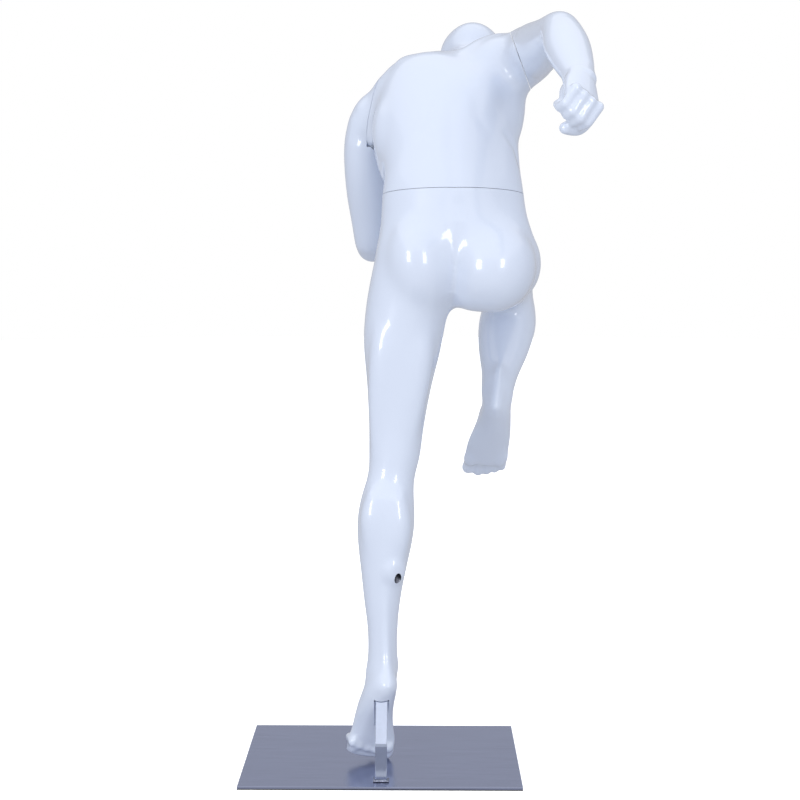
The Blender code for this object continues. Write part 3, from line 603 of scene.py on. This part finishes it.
def left_shoulder(clay):
    """The shoulder, which shapes both sides of the left arm's seam."""
    clay.ball((0.047, 0.240, 1.462), (0.060, 0.076, 0.080), along=(1.0, -0.3, 0.20))
    clay.ball((0.104, 0.258, 1.496), (0.046, 0.046, 0.088), along=(1.0, 0.1, 0.14))
    clay.ball((0.056, 0.250, 1.530), (0.022, 0.030, 0.022))
    clay.ball(LEFT_SHOULDER + Vector((0.004, 0, -0.002)), (0.048, 0.057, 0.068), along=(0.0, 0.1, -1.0))


def right_shoulder(clay):
    """The same on the right, where the arm is raised behind the back."""
    clay.ball((0.265, 0.212, 1.522), (0.066, 0.078, 0.075), along=(1.0, -0.1, 0.35))
    clay.ball((0.242, 0.245, 1.553), (0.050, 0.055, 0.088), along=(1.0, -0.15, 0.36))
    clay.ball(RIGHT_SHOULDER, (0.058, 0.060, 0.070), along=(0.35, -0.92, 0.10))


def chest_and_back(clay):
    """Breast, side of the back and shoulder blade, left then right."""
    clay.ball((0.078, 0.275, 1.400), (0.082, 0.066, 0.050), along=(-0.25, 0.8, -0.6))
    clay.ball((0.026, 0.178, 1.400), (0.050, 0.060, 0.095), along=(0.15, 0.5, 1.0))
    clay.ball((0.085, 0.150, 1.430), (0.060, 0.060, 0.080), along=(0.1, 0.5, 1.0))
    flank = [(0.010, 0.235, 1.400), (0.014, 0.200, 1.350), (0.030, 0.150, 1.290), (0.060, 0.110, 1.240)]
    clay.strand(flank, (0.030, 0.036, 0.034, 0.030), AHEAD, sides=24)
    clay.ball((0.222, 0.262, 1.418), (0.082, 0.066, 0.050), along=(0.25, 0.8, -0.6))
    clay.ball((0.268, 0.168, 1.430), (0.050, 0.062, 0.105), along=(0.10, 0.4, 1.0))
    clay.ball((0.215, 0.145, 1.450), (0.060, 0.060, 0.080), along=(0.0, 0.5, 1.0))


FACE = Vector((0.03, 0.94, -0.34)).normalized()
CROWN = Vector((0.0, 0.34, 0.94)).normalized()
CHEEK = FACE.cross(CROWN).normalized()


def on_head(across, ahead, up):
    """A point of the head: across towards its right, ahead towards the face, up towards the crown."""
    return HEAD + CHEEK * across + FACE * ahead + CROWN * up


def head_path(*places, side=1):
    """Points of the head on its right side, or on its left where side is -1."""
    return [on_head(across * side, ahead, up) for across, ahead, up in places]


def head_ball(clay, place, radii):
    """An ellipsoid whose radii are across the head, front to back, and up."""
    grow = clay.grow(on_head(*place))
    basis = Matrix((CHEEK, FACE, CROWN)).transposed().to_4x4()
    size = Matrix.Diagonal([r + grow for r in radii] + [1.0])
    bmesh.ops.create_icosphere(
        clay.bm, subdivisions=4, radius=1.0, matrix=Matrix.Translation(on_head(*place)) @ basis @ size
    )


def neck_and_head(clay):
    clay.limb(
        [
            (0.172, 0.262, 1.495, 0.085, 0.070, 0.066),
            (0.186, 0.322, 1.528, 0.062, 0.062, 0.058),
            (0.194, 0.375, 1.545, 0.056, 0.058, 0.054),
            (0.200, 0.435, 1.555, 0.056, 0.056, 0.054),
        ],
        (0, 0.5, -0.86),
    )
    head_ball(clay, (0.0, -0.012, 0.008), (0.0785, 0.094, 0.086))
    head_ball(clay, (0.0, 0.034, 0.000), (0.070, 0.066, 0.074))
    if clay.hollow:
        return
    head_ball(clay, (0.0, 0.030, -0.050), (0.062, 0.060, 0.064))
    head_ball(clay, (0.0, 0.044, -0.088), (0.046, 0.046, 0.040))
    for side in (-1, 1):
        head_ball(clay, (0.040 * side, 0.050, -0.040), (0.028, 0.034, 0.032))
        # Neck, brow, eye and ear.
        neck = [
            on_head(0.052 * side, -0.022, -0.058),
            (0.190 + 0.045 * side, 0.385, 1.500 + 0.010 * side),
            (0.182 + 0.016 * side, 0.352, 1.462),
        ]
        clay.strand(neck, (0.016, 0.015, 0.013), FACE)
        brow = head_path((0.006, 0.092, 0.006), (0.032, 0.087, 0.010), (0.054, 0.068, 0.003), side=side)
        clay.strand(brow, (0.0105, 0.0110, 0.0090), FACE)
        head_ball(clay, (0.031 * side, 0.072, -0.019), (0.0170, 0.0155, 0.0120))
        ear = [(0.074, 0.006, 0.004), (0.078, -0.008, 0.006), (0.081, -0.019, -0.006),
               (0.080, -0.019, -0.024), (0.076, -0.010, -0.038), (0.071, 0.000, -0.046)]
        clay.strand(head_path(*ear, side=side), (0.006, 0.006, 0.006, 0.006, 0.006, 0.0065), FACE)
        head_ball(clay, (0.072 * side, -0.004, -0.020), (0.0085, 0.017, 0.023))
        head_ball(clay, (0.0105 * side, 0.097, -0.052), (0.0090, 0.0095, 0.0075))
    nose = head_path((0, 0.088, -0.002), (0, 0.101, -0.028), (0, 0.110, -0.049))
    clay.strand(nose, (0.0090, 0.0095, 0.0105), FACE)
    upper = head_path((-0.019, 0.083, -0.0765), (0, 0.0925, -0.0745), (0.019, 0.083, -0.0765))
    clay.strand(upper, (0.0045, 0.0070, 0.0045), CROWN)
    lower_lip = head_path((-0.016, 0.082, -0.0855), (0, 0.0905, -0.0870), (0.016, 0.082, -0.0855))
    clay.strand(lower_lip, (0.0050, 0.0080, 0.0050), CROWN)
    head_ball(clay, (0.0, 0.072, -0.112), (0.024, 0.020, 0.018))


def right_root(clay):
    """The start of the arm, for the shell that it is cut from."""
    line = RIGHT_ELBOW - RIGHT_SHOULDER
    rows = ((0.00, 0.056, 0.058, 0.077), (0.25, 0.052, 0.054, 0.070), (0.50, 0.047, 0.046, 0.064))
    clay.limb([(*(RIGHT_SHOULDER + line * t), *size) for t, *size in rows], UP)


def left_root(clay):
    start = (*LEFT_SHOULDER, 0.050, 0.056, 0.056)
    clay.limb([start, (-0.037, 0.284, 1.392, 0.048, 0.054, 0.056)], AHEAD)


def right_arm(clay):
    line = RIGHT_ELBOW - RIGHT_SHOULDER
    sizes = [
        (0.00, 0.056, 0.058, 0.077),
        (0.25, 0.052, 0.054, 0.070),
        (0.50, 0.047, 0.046, 0.064),
        (0.75, 0.042, 0.040, 0.052),
        (1.00, 0.038, 0.037, 0.042),
    ]
    clay.limb([(*(RIGHT_SHOULDER + line * t), *size) for t, *size in sizes], UP)
    line = RIGHT_WRIST - RIGHT_ELBOW
    sizes = [
        (0.00, 0.038, 0.038, 0.036),
        (0.22, 0.044, 0.041, 0.039),
        (0.40, 0.046, 0.040, 0.038),
        (0.65, 0.041, 0.035, 0.034),
        (0.85, 0.035, 0.030, 0.029),
        (1.00, 0.035, 0.028, 0.027),
    ]
    clay.limb([(*(RIGHT_ELBOW + line * t), *size) for t, *size in sizes], UP)
    if not clay.hollow:
        fist(clay, RIGHT_WRIST, RIGHT_FIST, Vector((0.73, -0.56, 0.68)), -1)


def left_arm(clay):
    clay.limb(
        [
            (*LEFT_SHOULDER, 0.050, 0.056, 0.056),
            (-0.043, 0.290, 1.360, 0.050, 0.054, 0.056),
            (-0.041, 0.302, 1.300, 0.051, 0.050, 0.055),
            (-0.037, 0.314, 1.245, 0.050, 0.046, 0.050),
            (-0.033, 0.325, 1.190, 0.045, 0.042, 0.044),
            (-0.031, 0.336, 1.130, 0.038, 0.039, 0.038),
        ],
        AHEAD,
    )
    line = LEFT_WRIST - LEFT_ELBOW
    sizes = [
        (0.00, 0.035, 0.036, 0.036),
        (0.22, 0.042, 0.038, 0.038),
        (0.40, 0.041, 0.037, 0.036),
        (0.65, 0.038, 0.034, 0.033),
        (0.85, 0.033, 0.029, 0.028),
        (1.00, 0.031, 0.026, 0.025),
    ]
    clay.limb([(*(LEFT_ELBOW + line * t), *size) for t, *size in sizes], (0, -0.5, 0.86))
    if not clay.hollow:
        fist(clay, LEFT_WRIST, LEFT_FIST, Vector((-1, 0, 0)), 1)


def fist(clay, wrist, centre, back, thumb_side):
    """A closed hand. The back of the hand faces the given way, and the thumb lies on the given side."""
    along = (centre - wrist).normalized()
    back = (back - along * back.dot(along)).normalized()
    across = along.cross(back) * thumb_side

    def at(forward, sideways, lift):
        return wrist + along * forward + across * sideways + back * lift

    clay.limb(
        [
            (*at(-0.012, 0.0, 0.000), 0.0310, 0.0255, 0.0255),
            (*at(0.030, 0.0, 0.000), 0.0370, 0.0230, 0.0250),
            (*at(0.060, 0.0, 0.002), 0.0400, 0.0200, 0.0240),
            (*at(0.082, 0.0, 0.003), 0.0395, 0.0180, 0.0240),
        ],
        back,
        sides=24,
    )
    clay.ball(at(0.034, 0.020, -0.016), (0.020, 0.020, 0.032), along=along)
    clay.ball(at(0.050, -0.016, -0.016), (0.018, 0.018, 0.034), along=along)
    for n in range(4):
        place = 0.0288 - 0.0190 * n
        length = (0.006, 0.010, 0.007, 0.000)[n]
        thick = (0.0107, 0.0110, 0.0106, 0.0098)[n]
        knuckle = at(0.082 + 0.5 * length, place, 0.010)
        middle = at(0.096 + length, place * 0.96, -0.014)
        bend = at(0.090 + length, place * 0.94, -0.029)
        tip = at(0.068, place * 0.90, -0.037)
        for start, stop, near, far in (
            (knuckle, middle, 1.0, 1.0),
            (middle, bend, 1.0, 0.97),
            (bend, tip, 0.97, 0.88),
        ):
            ends = [(*start, *[thick * near] * 3), (*stop, *[thick * far] * 3)]
            clay.limb(ends, across, sides=14, dome=0.95)
        clay.ball(at(0.080 + 0.5 * length, place, 0.015), (0.0105, 0.0105, 0.011), along=along)
    thumb = [
        at(0.016, 0.028, -0.010),
        at(0.046, 0.042, -0.022),
        at(0.078, 0.036, -0.044),
        at(0.096, 0.008, -0.053),
    ]
    clay.strand(thumb, (0.0175, 0.0160, 0.0138, 0.0120), back)


# --- Sculpting --------------------------------------------
CLEFT = [(0.157, -0.040, 1.185), (0.157, -0.060, 1.130), (0.156, -0.062, 1.075), (0.152, -0.020, 1.020),
         (0.150, 0.040, 0.995)]


def lines(skin):
    """Creases and ridges, on the outer skin only."""
    for path, width, depth in (
        # Spine, and the cleft: wide, then narrow.
        ([(0.160, -0.036, 1.150), (0.156, -0.022, 1.240), (0.150, 0.036, 1.340),
          (0.150, 0.110, 1.440)], 0.016, 0.0030),
        (CLEFT, 0.022, 0.0065),
        (CLEFT[1:], 0.0075, 0.0075),
        # Shoulder blades and the fold of the right flank.
        ([(0.108, 0.060, 1.470), (0.098, 0.040, 1.405), (0.075, 0.045, 1.350)], 0.013, 0.0022),
        ([(0.205, 0.070, 1.490), (0.210, 0.045, 1.425), (0.232, 0.050, 1.365)], 0.013, 0.0022),
        ([(0.262, 0.070, 1.385), (0.285, 0.085, 1.345), (0.302, 0.085, 1.290)], 0.010, 0.0030),
        # Breastbone, belly and navel.
        ([(0.158, 0.310, 1.440), (0.152, 0.262, 1.375), (0.152, 0.214, 1.305),
          (0.155, 0.190, 1.255)], 0.011, 0.0030),
        ([(0.155, 0.182, 1.225), (0.156, 0.176, 1.190), (0.157, 0.172, 1.150)], 0.010, 0.0020),
        ([(0.155, 0.180, 1.212), (0.155, 0.179, 1.204)], 0.006, 0.0045),
        # Breasts and collarbones, left then right.
        ([(0.146, 0.280, 1.372), (0.108, 0.290, 1.352), (0.066, 0.275, 1.352),
          (0.034, 0.245, 1.372)], 0.012, 0.0034),
        ([(0.162, 0.280, 1.372), (0.204, 0.290, 1.358), (0.246, 0.275, 1.364),
          (0.280, 0.245, 1.388)], 0.012, 0.0034),
        ([(0.158, 0.335, 1.462), (0.112, 0.325, 1.488), (0.060, 0.290, 1.515)], 0.009, -0.0038),
        ([(0.186, 0.335, 1.468), (0.232, 0.315, 1.500), (0.275, 0.275, 1.545)], 0.009, -0.0038),
    ):
        skin.crease(path, width, depth)
    mouth = head_path((-0.024, 0.086, -0.0805), (0, 0.100, -0.0800), (0.024, 0.086, -0.0805))
    skin.crease(mouth, 0.0040, 0.0060)
    for side in (-1, 1):
        # A closed eyelid and the fold under the cheek.
        lid = [(0.017, 0.088, -0.0235), (0.033, 0.090, -0.0265), (0.048, 0.076, -0.0225)]
        skin.crease(head_path(*lid, side=side), 0.0038, 0.0050)
        fold = [(0.021, 0.094, -0.052), (0.031, 0.084, -0.072), (0.030, 0.076, -0.088)]
        skin.crease(head_path(*fold, side=side), 0.0055, 0.0022)


# --- Shells -----------------------------------------------
def fired(forms, name, voxel=VOXEL, hollow=False):
    clay = Clay(hollow)
    for form in forms:
        form(clay)
    skin = Skin(clay.fire(name, voxel), voxel)
    skin.relax(6)
    if not hollow:
        skin.inset(fillet_at(skin.points))
    plain = plainness(skin.points)
    skin.melt(MELT, plain)
    skin.melt(FINE_MELT, 1 - plain)
    skin.relax(4)
    if hollow:
        skin.crease(CLEFT, 0.030, 0.018)  # keeps the wall's thickness behind the deepest line
    else:
        lines(skin)
        skin.relax(3)
        skin.polish(8, 0.12 + 0.88 * plain)
    skin.store()
    return skin


def subtract(obj, cutter):
    made = obj.modifiers.new("Cut", "BOOLEAN")
    made.operation = "DIFFERENCE"
    made.solver = "MANIFOLD"
    made.object = cutter
    apply_modifiers(obj)
    bpy.data.objects.remove(cutter, do_unlink=True)


def copied(obj):
    other = obj.copy()
    other.data = obj.data.copy()
    bpy.context.scene.collection.objects.link(other)
    return other


def rod(start, heading, radius, length, sides=96):
    """A closed cylinder from a point along a direction."""
    bm = bmesh.new()
    heading = Vector(heading).normalized()
    turn = heading.to_track_quat("Z", "Y").to_matrix().to_4x4()
    place = Matrix.Translation(Vector(start) + heading * length / 2) @ turn
    bmesh.ops.create_cone(
        bm, cap_ends=True, segments=sides, radius1=radius, radius2=radius, depth=length, matrix=place
    )
    return object_from(bm, "rod")


def past(seam, loose, gap=SEAM_GAP / 2):
    """The space past a seam, as seen from the loose or the fixed shell that is being cut."""
    centre, axis, radius, length = SEAMS[seam]
    outward = Vector(axis).normalized() * (-1 if loose else 1)
    return rod(Vector(centre) - outward * gap, outward, radius, length)


def turned_copies(obj, seam, angles):
    """The object as a loose piece meets it when that piece is turned on its seam's axis."""
    centre, axis = SEAMS[seam][:2]
    middle = Matrix.Translation(centre)
    for degrees in angles:
        turned = copied(obj)
        turn = middle @ Matrix.Rotation(math.radians(-degrees), 4, axis) @ middle.inverted()
        turned.data.transform(turn)
        yield turned


def block(size, centre, turned_to):
    """A closed box in a frame of its own."""
    bm = bmesh.new()
    place = turned_to @ Matrix.Translation(centre) @ Matrix.Diagonal((*size, 1.0))
    bmesh.ops.create_cube(bm, size=1.0, matrix=place)
    return object_from(bm, "block")


def foot_holes():
    """The post's pocket and slot in the sole, the lock screw's hole and the rod hole in the calf."""
    post = Matrix.Translation((POST_X, POST_Y, POST_BEND_Z)) @ Matrix.Rotation(-POST_LEAN, 4, "X")
    yield block((*SLEEVE, 0.175), (0, 0, 0.1175), post)
    middle = LEFT_HEEL.lerp(LEFT_BALL, 0.37)
    along = (LEFT_BALL - LEFT_HEEL).normalized()
    turn = Matrix.Rotation(math.atan2(along.y, -along.z) + math.pi, 4, "X")
    slot = Matrix.Translation((POST_X, middle.y, middle.z)) @ turn
    yield block((SLEEVE[0], 0.030, 0.070), (0, 0, 0), slot)
    lock = post @ Matrix.Translation((0, 0, 0.135)) @ Matrix.Rotation(-math.pi / 2, 4, "X")
    yield rod(lock.translation, lock.col[2].xyz, 0.0045, 0.15, sides=32)
    yield rod(CALF_HOLE - CALF_HEADING * 0.05, CALF_HEADING, CALF_RADIUS, 0.112, sides=48)


def keep_main_part(obj):
    """Removes the loose scraps that the cuts leave beside the largest connected part."""
    bm = bmesh.new()
    bm.from_mesh(obj.data)
    left = set(bm.verts)
    parts = []
    while left:
        part = {left.pop()}
        edge = list(part)
        while edge:
            near = {link.other_vert(vert) for vert in edge for link in vert.link_edges} - part
            part |= near
            edge = list(near)
        left -= part
        parts.append(part)
    parts.sort(key=len)
    bmesh.ops.delete(bm, geom=[vert for part in parts[:-1] for vert in part], context="VERTS")
    bm.to_mesh(obj.data)
    bm.free()


def shell(node, skin, hollow_forms, cutters, body):
    """A hollow shell in place of a CAD one: a skin less its hollow and what lies past its seams."""
    outer = skin.obj
    subtract(outer, fired(hollow_forms, "hollow", HOLLOW_VOXEL, hollow=True).obj)
    for cutter in cutters:
        subtract(outer, cutter)
    keep_main_part(outer)
    outer.data.shade_smooth()
    outer.data.set_sharp_from_angle(angle=SHARP_EDGE)
    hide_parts(node)
    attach(outer, body)
    return outer


SHOULDERS = [left_shoulder, right_shoulder]
ROOTS = [left_root, right_root]

lower_skin = fired([pelvis, trunk, left_leg, right_thigh], "lower_body_skin")
leg_skin = fired([right_leg, right_hip, right_groin], "right_leg_skin")
torso_forms = [trunk, pelvis, *SHOULDERS, chest_and_back, neck_and_head, *ROOTS]
torso_skin = fired(torso_forms, "torso_skin")
right_skin = fired([right_arm, right_shoulder], "right_arm_skin", ARM_VOXEL)
left_skin = fired([left_arm, left_shoulder], "left_arm_skin", ARM_VOXEL)
leg_skin.meet(lower_skin, "hip", 0.125)
right_skin.meet(torso_skin, "right_arm", 0.125)
left_skin.meet(torso_skin, "left_arm", 0.090)

# The left arm hangs against the chest, so it is cut to the torso's own surface and not only to its
# seam, at rest and over the range that it turns.
chest = Skin(copied(torso_skin.obj), VOXEL)
chest.inset(np.full(len(chest.points), -SEAM_GAP))
chest.store()
subtract(chest.obj, past("left_arm", False, -SEAM_GAP / 2))
chests = [*turned_copies(chest.obj, "left_arm", (-30, -15, 5, 10)), chest.obj]

lower = shell(
    "lower_body_shell",
    lower_skin,
    [pelvis, trunk, right_thigh],
    [past("waist", False), past("hip", False), *foot_holes()],
    "lower_body",
)
leg = shell("right_leg_shell", leg_skin, [right_thigh, right_hip], [past("hip", True)], "right_leg")
torso = shell(
    "torso_shell",
    torso_skin,
    [trunk, pelvis, *SHOULDERS, *ROOTS],
    [past("waist", True), past("right_arm", False), past("left_arm", False)],
    "torso",
)
right = shell(
    "right_arm_shell", right_skin, [right_shoulder, right_root], [past("right_arm", True)], "right_arm"
)
left = shell("left_arm_shell", left_skin, [left_shoulder], chests, "left_arm")


# --- Materials --------------------------------------------
class Look:
    """A Principled material that is built from noise in the piece's own coordinates."""

    def __init__(self, name, colour, roughness, metallic=0.0):
        self.material = bpy.data.materials.new(name)
        self.material.use_nodes = True
        self.nodes = self.material.node_tree.nodes
        self.links = self.material.node_tree.links
        self.shader = self.nodes["Principled BSDF"]
        self.colour = colour
        self.set("Base Color", (*colour, 1.0))
        self.set("Roughness", roughness)
        self.set("Metallic", metallic)
        self.place = self.nodes.new("ShaderNodeTexCoord").outputs["Object"]
        self.normal = None

    def set(self, socket, value):
        self.shader.inputs[socket].default_value = value

    def mapped(self, scale, turn=(0, 0, 0)):
        node = self.nodes.new("ShaderNodeMapping")
        node.inputs["Scale"].default_value = scale
        node.inputs["Rotation"].default_value = turn
        self.links.new(self.place, node.inputs["Vector"])
        return node.outputs["Vector"]

    def noise(self, scale, detail=3.0, stretch=(1, 1, 1), turn=(0, 0, 0)):
        node = self.nodes.new("ShaderNodeTexNoise")
        node.inputs["Scale"].default_value = scale
        node.inputs["Detail"].default_value = detail
        self.links.new(self.mapped(stretch, turn), node.inputs["Vector"])
        return node.outputs["Fac"]

    def cells(self, scale):
        node = self.nodes.new("ShaderNodeTexVoronoi")
        node.inputs["Scale"].default_value = scale
        self.links.new(self.place, node.inputs["Vector"])
        return node.outputs["Distance"]

    def bands(self, scale, distortion, stretch=(1, 1, 1), turn=(0, 0, 0)):
        node = self.nodes.new("ShaderNodeTexWave")
        node.inputs["Scale"].default_value = scale
        node.inputs["Distortion"].default_value = distortion
        node.inputs["Detail"].default_value = 3.0
        self.links.new(self.mapped(stretch, turn), node.inputs["Vector"])
        return node.outputs["Fac"]

    def stepped(self, value, low, high, start=0.3, end=0.7):
        """A value or a colour that runs from low to high as the noise does from start to end."""
        node = self.nodes.new("ShaderNodeValToRGB")
        ramp = node.color_ramp
        ramp.elements[0].position, ramp.elements[1].position = start, end
        for element, tone in zip(ramp.elements, (low, high)):
            element.color = (*tone, 1.0) if isinstance(tone, tuple) else (tone, tone, tone, 1.0)
        self.links.new(value, node.inputs["Fac"])
        return node.outputs["Color"]

    def coloured(self, value, low, high, start=0.3, end=0.7):
        colour = self.stepped(value, low, high, start, end)
        self.links.new(colour, self.shader.inputs["Base Color"])

    def tinted(self, value, share, start=0.3, end=0.7):
        """The base colour, darker by that share where the noise is low."""
        dark = tuple(c * (1 - share) for c in self.colour)
        self.coloured(value, dark, self.colour, start, end)

    def rough(self, value, low, high, start=0.3, end=0.7):
        self.links.new(self.stepped(value, low, high, start, end), self.shader.inputs["Roughness"])

    def bump(self, value, strength, distance, socket="Normal"):
        """Another layer of bump, on top of the ones before it."""
        node = self.nodes.new("ShaderNodeBump")
        node.inputs["Strength"].default_value = strength
        node.inputs["Distance"].default_value = distance
        self.links.new(value, node.inputs["Height"])
        if socket == "Normal" and self.normal:
            self.links.new(self.normal, node.inputs["Normal"])
        self.links.new(node.outputs["Normal"], self.shader.inputs[socket])
        if socket == "Normal":
            self.normal = node.outputs["Normal"]

    def on(self, *names):
        for name in names:
            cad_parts[name].data.materials.clear()
            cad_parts[name].data.materials.append(self.material)


gelcoat = Look("gelcoat_white", (0.765, 0.835, 0.965), 0.30)
gelcoat.set("Coat Weight", 1.0)
gelcoat.set("Coat Roughness", 0.035)
gelcoat.set("Coat IOR", 1.5)
gelcoat.tinted(gelcoat.noise(5.0, 2.0), 0.04, 0.0, 1.0)
gelcoat.rough(gelcoat.noise(700.0, 2.0), 0.27, 0.33, 0.0, 1.0)
gelcoat.bump(gelcoat.noise(60.0, 1.0), 0.03, 0.0002)
gelcoat.bump(gelcoat.noise(8.0, 0.0), 0.03, 0.0015, "Coat Normal")

FITTINGS = ("waist", "hip", "right_arm", "left_arm")

plate = Look("brushed_plate", (0.415, 0.445, 0.585), 0.34, metallic=1.0)
brush = plate.noise(1.0, 4.0, stretch=(9, 1100, 1100))
plate.tinted(brush, 0.20)
plate.rough(brush, 0.19, 0.27)
plate.bump(brush, 0.22, 0.00008)
plate.bump(plate.noise(1.0, 2.0, stretch=(2, 260, 260)), 0.10, 0.0001)
plate.on("base_plate")

post = Look("polished_post", (0.66, 0.72, 0.86), 0.12, metallic=1.0)
brush = post.noise(1.0, 3.0, stretch=(1300, 16, 16))
post.tinted(post.noise(60.0, 4.0), 0.06)
post.rough(brush, 0.09, 0.20)
post.bump(brush, 0.12, 0.00005)
post.on("foot_post")

weld = Look("weld_bead", (0.56, 0.56, 0.60), 0.28, metallic=1.0)
ripple = weld.bands(95.0, 1.4)
weld.coloured(weld.noise(90.0, 3.0), (0.20, 0.21, 0.25), (0.42, 0.44, 0.52))
weld.rough(weld.noise(260.0, 3.0), 0.22, 0.44)
weld.bump(ripple, 0.55, 0.0006)
weld.bump(weld.noise(700.0, 3.0), 0.30, 0.0002)
weld.on("post_weld")

fitting = Look("machined_steel", (0.50, 0.51, 0.54), 0.28, metallic=1.0)
turned = fitting.noise(1.0, 3.0, stretch=(30, 900, 900))
fitting.tinted(fitting.noise(45.0, 4.0), 0.12)
fitting.rough(turned, 0.22, 0.36)
fitting.bump(turned, 0.20, 0.00006)
fitting.on("foot_socket", "lock_screw", *(f"{s}_{d}_disc" for s in FITTINGS for d in ("socket", "key")))

# The calf socket's dark steel. The same material is painted shade on the gelcoat wall of the calf's rod
# hole.
tube_and_hole_shade = Look("dark_tube_and_hole_shade", (0.27, 0.28, 0.33), 0.42, metallic=1.0)
tube_and_hole_shade.tinted(tube_and_hole_shade.noise(120.0, 3.0), 0.30)
tube_and_hole_shade.rough(tube_and_hole_shade.noise(300.0, 3.0), 0.34, 0.52)
tube_and_hole_shade.bump(tube_and_hole_shade.noise(800.0, 2.0), 0.20, 0.00006)
tube_and_hole_shade.on("calf_socket")

zinc = Look("zinc_plate", (0.60, 0.60, 0.57), 0.34, metallic=1.0)
spangle = zinc.cells(420.0)
zinc.tinted(spangle, 0.14, 0.1, 0.6)
zinc.rough(zinc.noise(500.0, 3.0), 0.26, 0.44)
zinc.bump(zinc.noise(900.0, 2.0), 0.16, 0.00008)
zinc.on(*(f"{s}_bolt" for s in FITTINGS), *(f"{s}_screw_{n}" for s in FITTINGS for n in (1, 2, 3)))

board = Look("plywood", (0.62, 0.47, 0.30), 0.66)
grain = board.bands(26.0, 5.0, stretch=(1.0, 0.25, 1.0), turn=(0.3, 0.2, 0.4))
fibre = board.noise(1.0, 4.0, stretch=(420, 18, 420), turn=(0.3, 0.2, 0.4))
board.coloured(grain, (0.47, 0.33, 0.19), (0.66, 0.51, 0.33), 0.1, 0.9)
board.rough(fibre, 0.56, 0.76)
board.bump(fibre, 0.35, 0.0003)
board.bump(grain, 0.10, 0.0003)
board.on(*(f"{s}_{side}_board" for s in FITTINGS for side in ("fixed", "loose")))

foam = Look("foam_pad", (0.050, 0.050, 0.056), 0.90)
foam.tinted(foam.noise(240.0, 4.0), 0.35)
foam.rough(foam.noise(300.0, 3.0), 0.82, 0.96)
foam.bump(foam.cells(1400.0), 0.55, 0.0003)
foam.on("base_liner")

for obj in (lower, leg, torso, right, left):
    obj.data.materials.clear()
    obj.data.materials.append(gelcoat.material)

# The wall of the calf's rod hole is given the dark steel of the tube behind it: painted shade, darkening
# the hole's gelcoat wall as shade in the recess would.
lower.data.materials.append(tube_and_hole_shade.material)
for face in lower.data.polygons:
    away = face.center - CALF_HOLE
    aside = (away - CALF_HEADING * away.dot(CALF_HEADING)).length
    # Faces of the hole's wall take the dark steel as painted shade.
    if aside < CALF_RADIUS + 0.0001 and abs(face.normal.dot(CALF_HEADING)) < 0.1:
        face.material_index = 1

# --- Studio -----------------------------------------------
camera = bpy.data.objects.new("camera", bpy.data.cameras.new("camera"))
camera.data.lens = 67.55
camera.data.sensor_width = 36
camera.location = (0.0742, -3.2352, 1.1544)
camera.rotation_euler = (math.pi / 2 - 0.1089, 0.0, 0.0105)
bpy.context.scene.collection.objects.link(camera)
bpy.context.scene.camera = camera
bpy.context.scene.view_settings.view_transform = "Standard"

bm = bmesh.new()
bmesh.ops.create_circle(bm, cap_ends=True, segments=96, radius=14)
floor = object_from(bm, "floor")
floor_look = Look("floor", (0.92, 0.93, 0.95), 0.9)
floor_look.set("Emission Color", (1.0, 1.0, 1.0, 1.0))
floor_look.set("Emission Strength", 0.75)
floor.data.materials.append(floor_look.material)
# From below, the backdrop alone lights the figure.
floor.visible_diffuse = floor.visible_glossy = False

# A grey card on the floor that only reflections see, for the post's upright part to mirror.
bm = bmesh.new()
place = Matrix.Translation((0.0, -0.85, 0.001))
bmesh.ops.create_grid(bm, x_segments=1, y_segments=1, size=0.6, matrix=place)
card = object_from(bm, "card")
card.data.materials.append(Look("card", (0.30, 0.31, 0.36), 0.9).material)
card.visible_camera = card.visible_diffuse = card.visible_shadow = False


def softbox(name, place, target, size, power):
    light = bpy.data.lights.new(name, "AREA")
    light.shape = "RECTANGLE"
    light.size, light.size_y = size
    light.energy = power
    lamp = bpy.data.objects.new(name, light)
    lamp.location = place
    lamp.rotation_euler = (Vector(target) - Vector(place)).to_track_quat("-Z", "Y").to_euler()
    bpy.context.scene.collection.objects.link(lamp)
    return lamp


softbox("softbox_left", (-2.0, -2.7, 1.9), (0.1, 0.1, 1.0), (0.80, 1.20), 22)
softbox("softbox_right", (1.35, -3.1, 1.95), (0.15, 0.1, 1.0), (0.65, 1.15), 14)
softbox("softbox_low", (0.1, -2.7, 0.3), (0.05, 0.0, 0.45), (2.4, 0.5), 9).visible_glossy = False
softbox("ceiling", (0.2, -1.6, 4.2), (0.2, -1.6, 0.0), (9.0, 9.0), 115)

# The camera sees a white backdrop. The figure is lit by a greyer one that darkens towards the ground.
world = bpy.data.worlds.new("studio")
bpy.context.scene.world = world
world.use_nodes = True
tree = world.node_tree
soft = tree.nodes["Background"]
soft.inputs["Strength"].default_value = 1.0
height = tree.nodes.new("ShaderNodeSeparateXYZ")
tree.links.new(tree.nodes.new("ShaderNodeTexCoord").outputs["Generated"], height.inputs["Vector"])
sky = tree.nodes.new("ShaderNodeValToRGB")
sky.color_ramp.elements[0].color = (0.52, 0.535, 0.585, 1.0)
sky.color_ramp.elements[1].color = (0.54, 0.56, 0.62, 1.0)
shifted = tree.nodes.new("ShaderNodeMath")
shifted.operation = "MULTIPLY_ADD"
shifted.inputs[1].default_value = shifted.inputs[2].default_value = 0.5
tree.links.new(height.outputs["Z"], shifted.inputs[0])
tree.links.new(shifted.outputs["Value"], sky.inputs["Fac"])
tree.links.new(sky.outputs["Color"], soft.inputs["Color"])
backdrop = tree.nodes.new("ShaderNodeBackground")
backdrop.inputs["Color"].default_value = (1.0, 1.0, 1.0, 1.0)
backdrop.inputs["Strength"].default_value = 1.0
seen = tree.nodes.new("ShaderNodeMixShader")
tree.links.new(tree.nodes.new("ShaderNodeLightPath").outputs["Is Camera Ray"], seen.inputs["Fac"])
tree.links.new(soft.outputs["Background"], seen.inputs[1])
tree.links.new(backdrop.outputs["Background"], seen.inputs[2])
tree.links.new(seen.outputs["Shader"], tree.nodes["World Output"].inputs["Surface"])
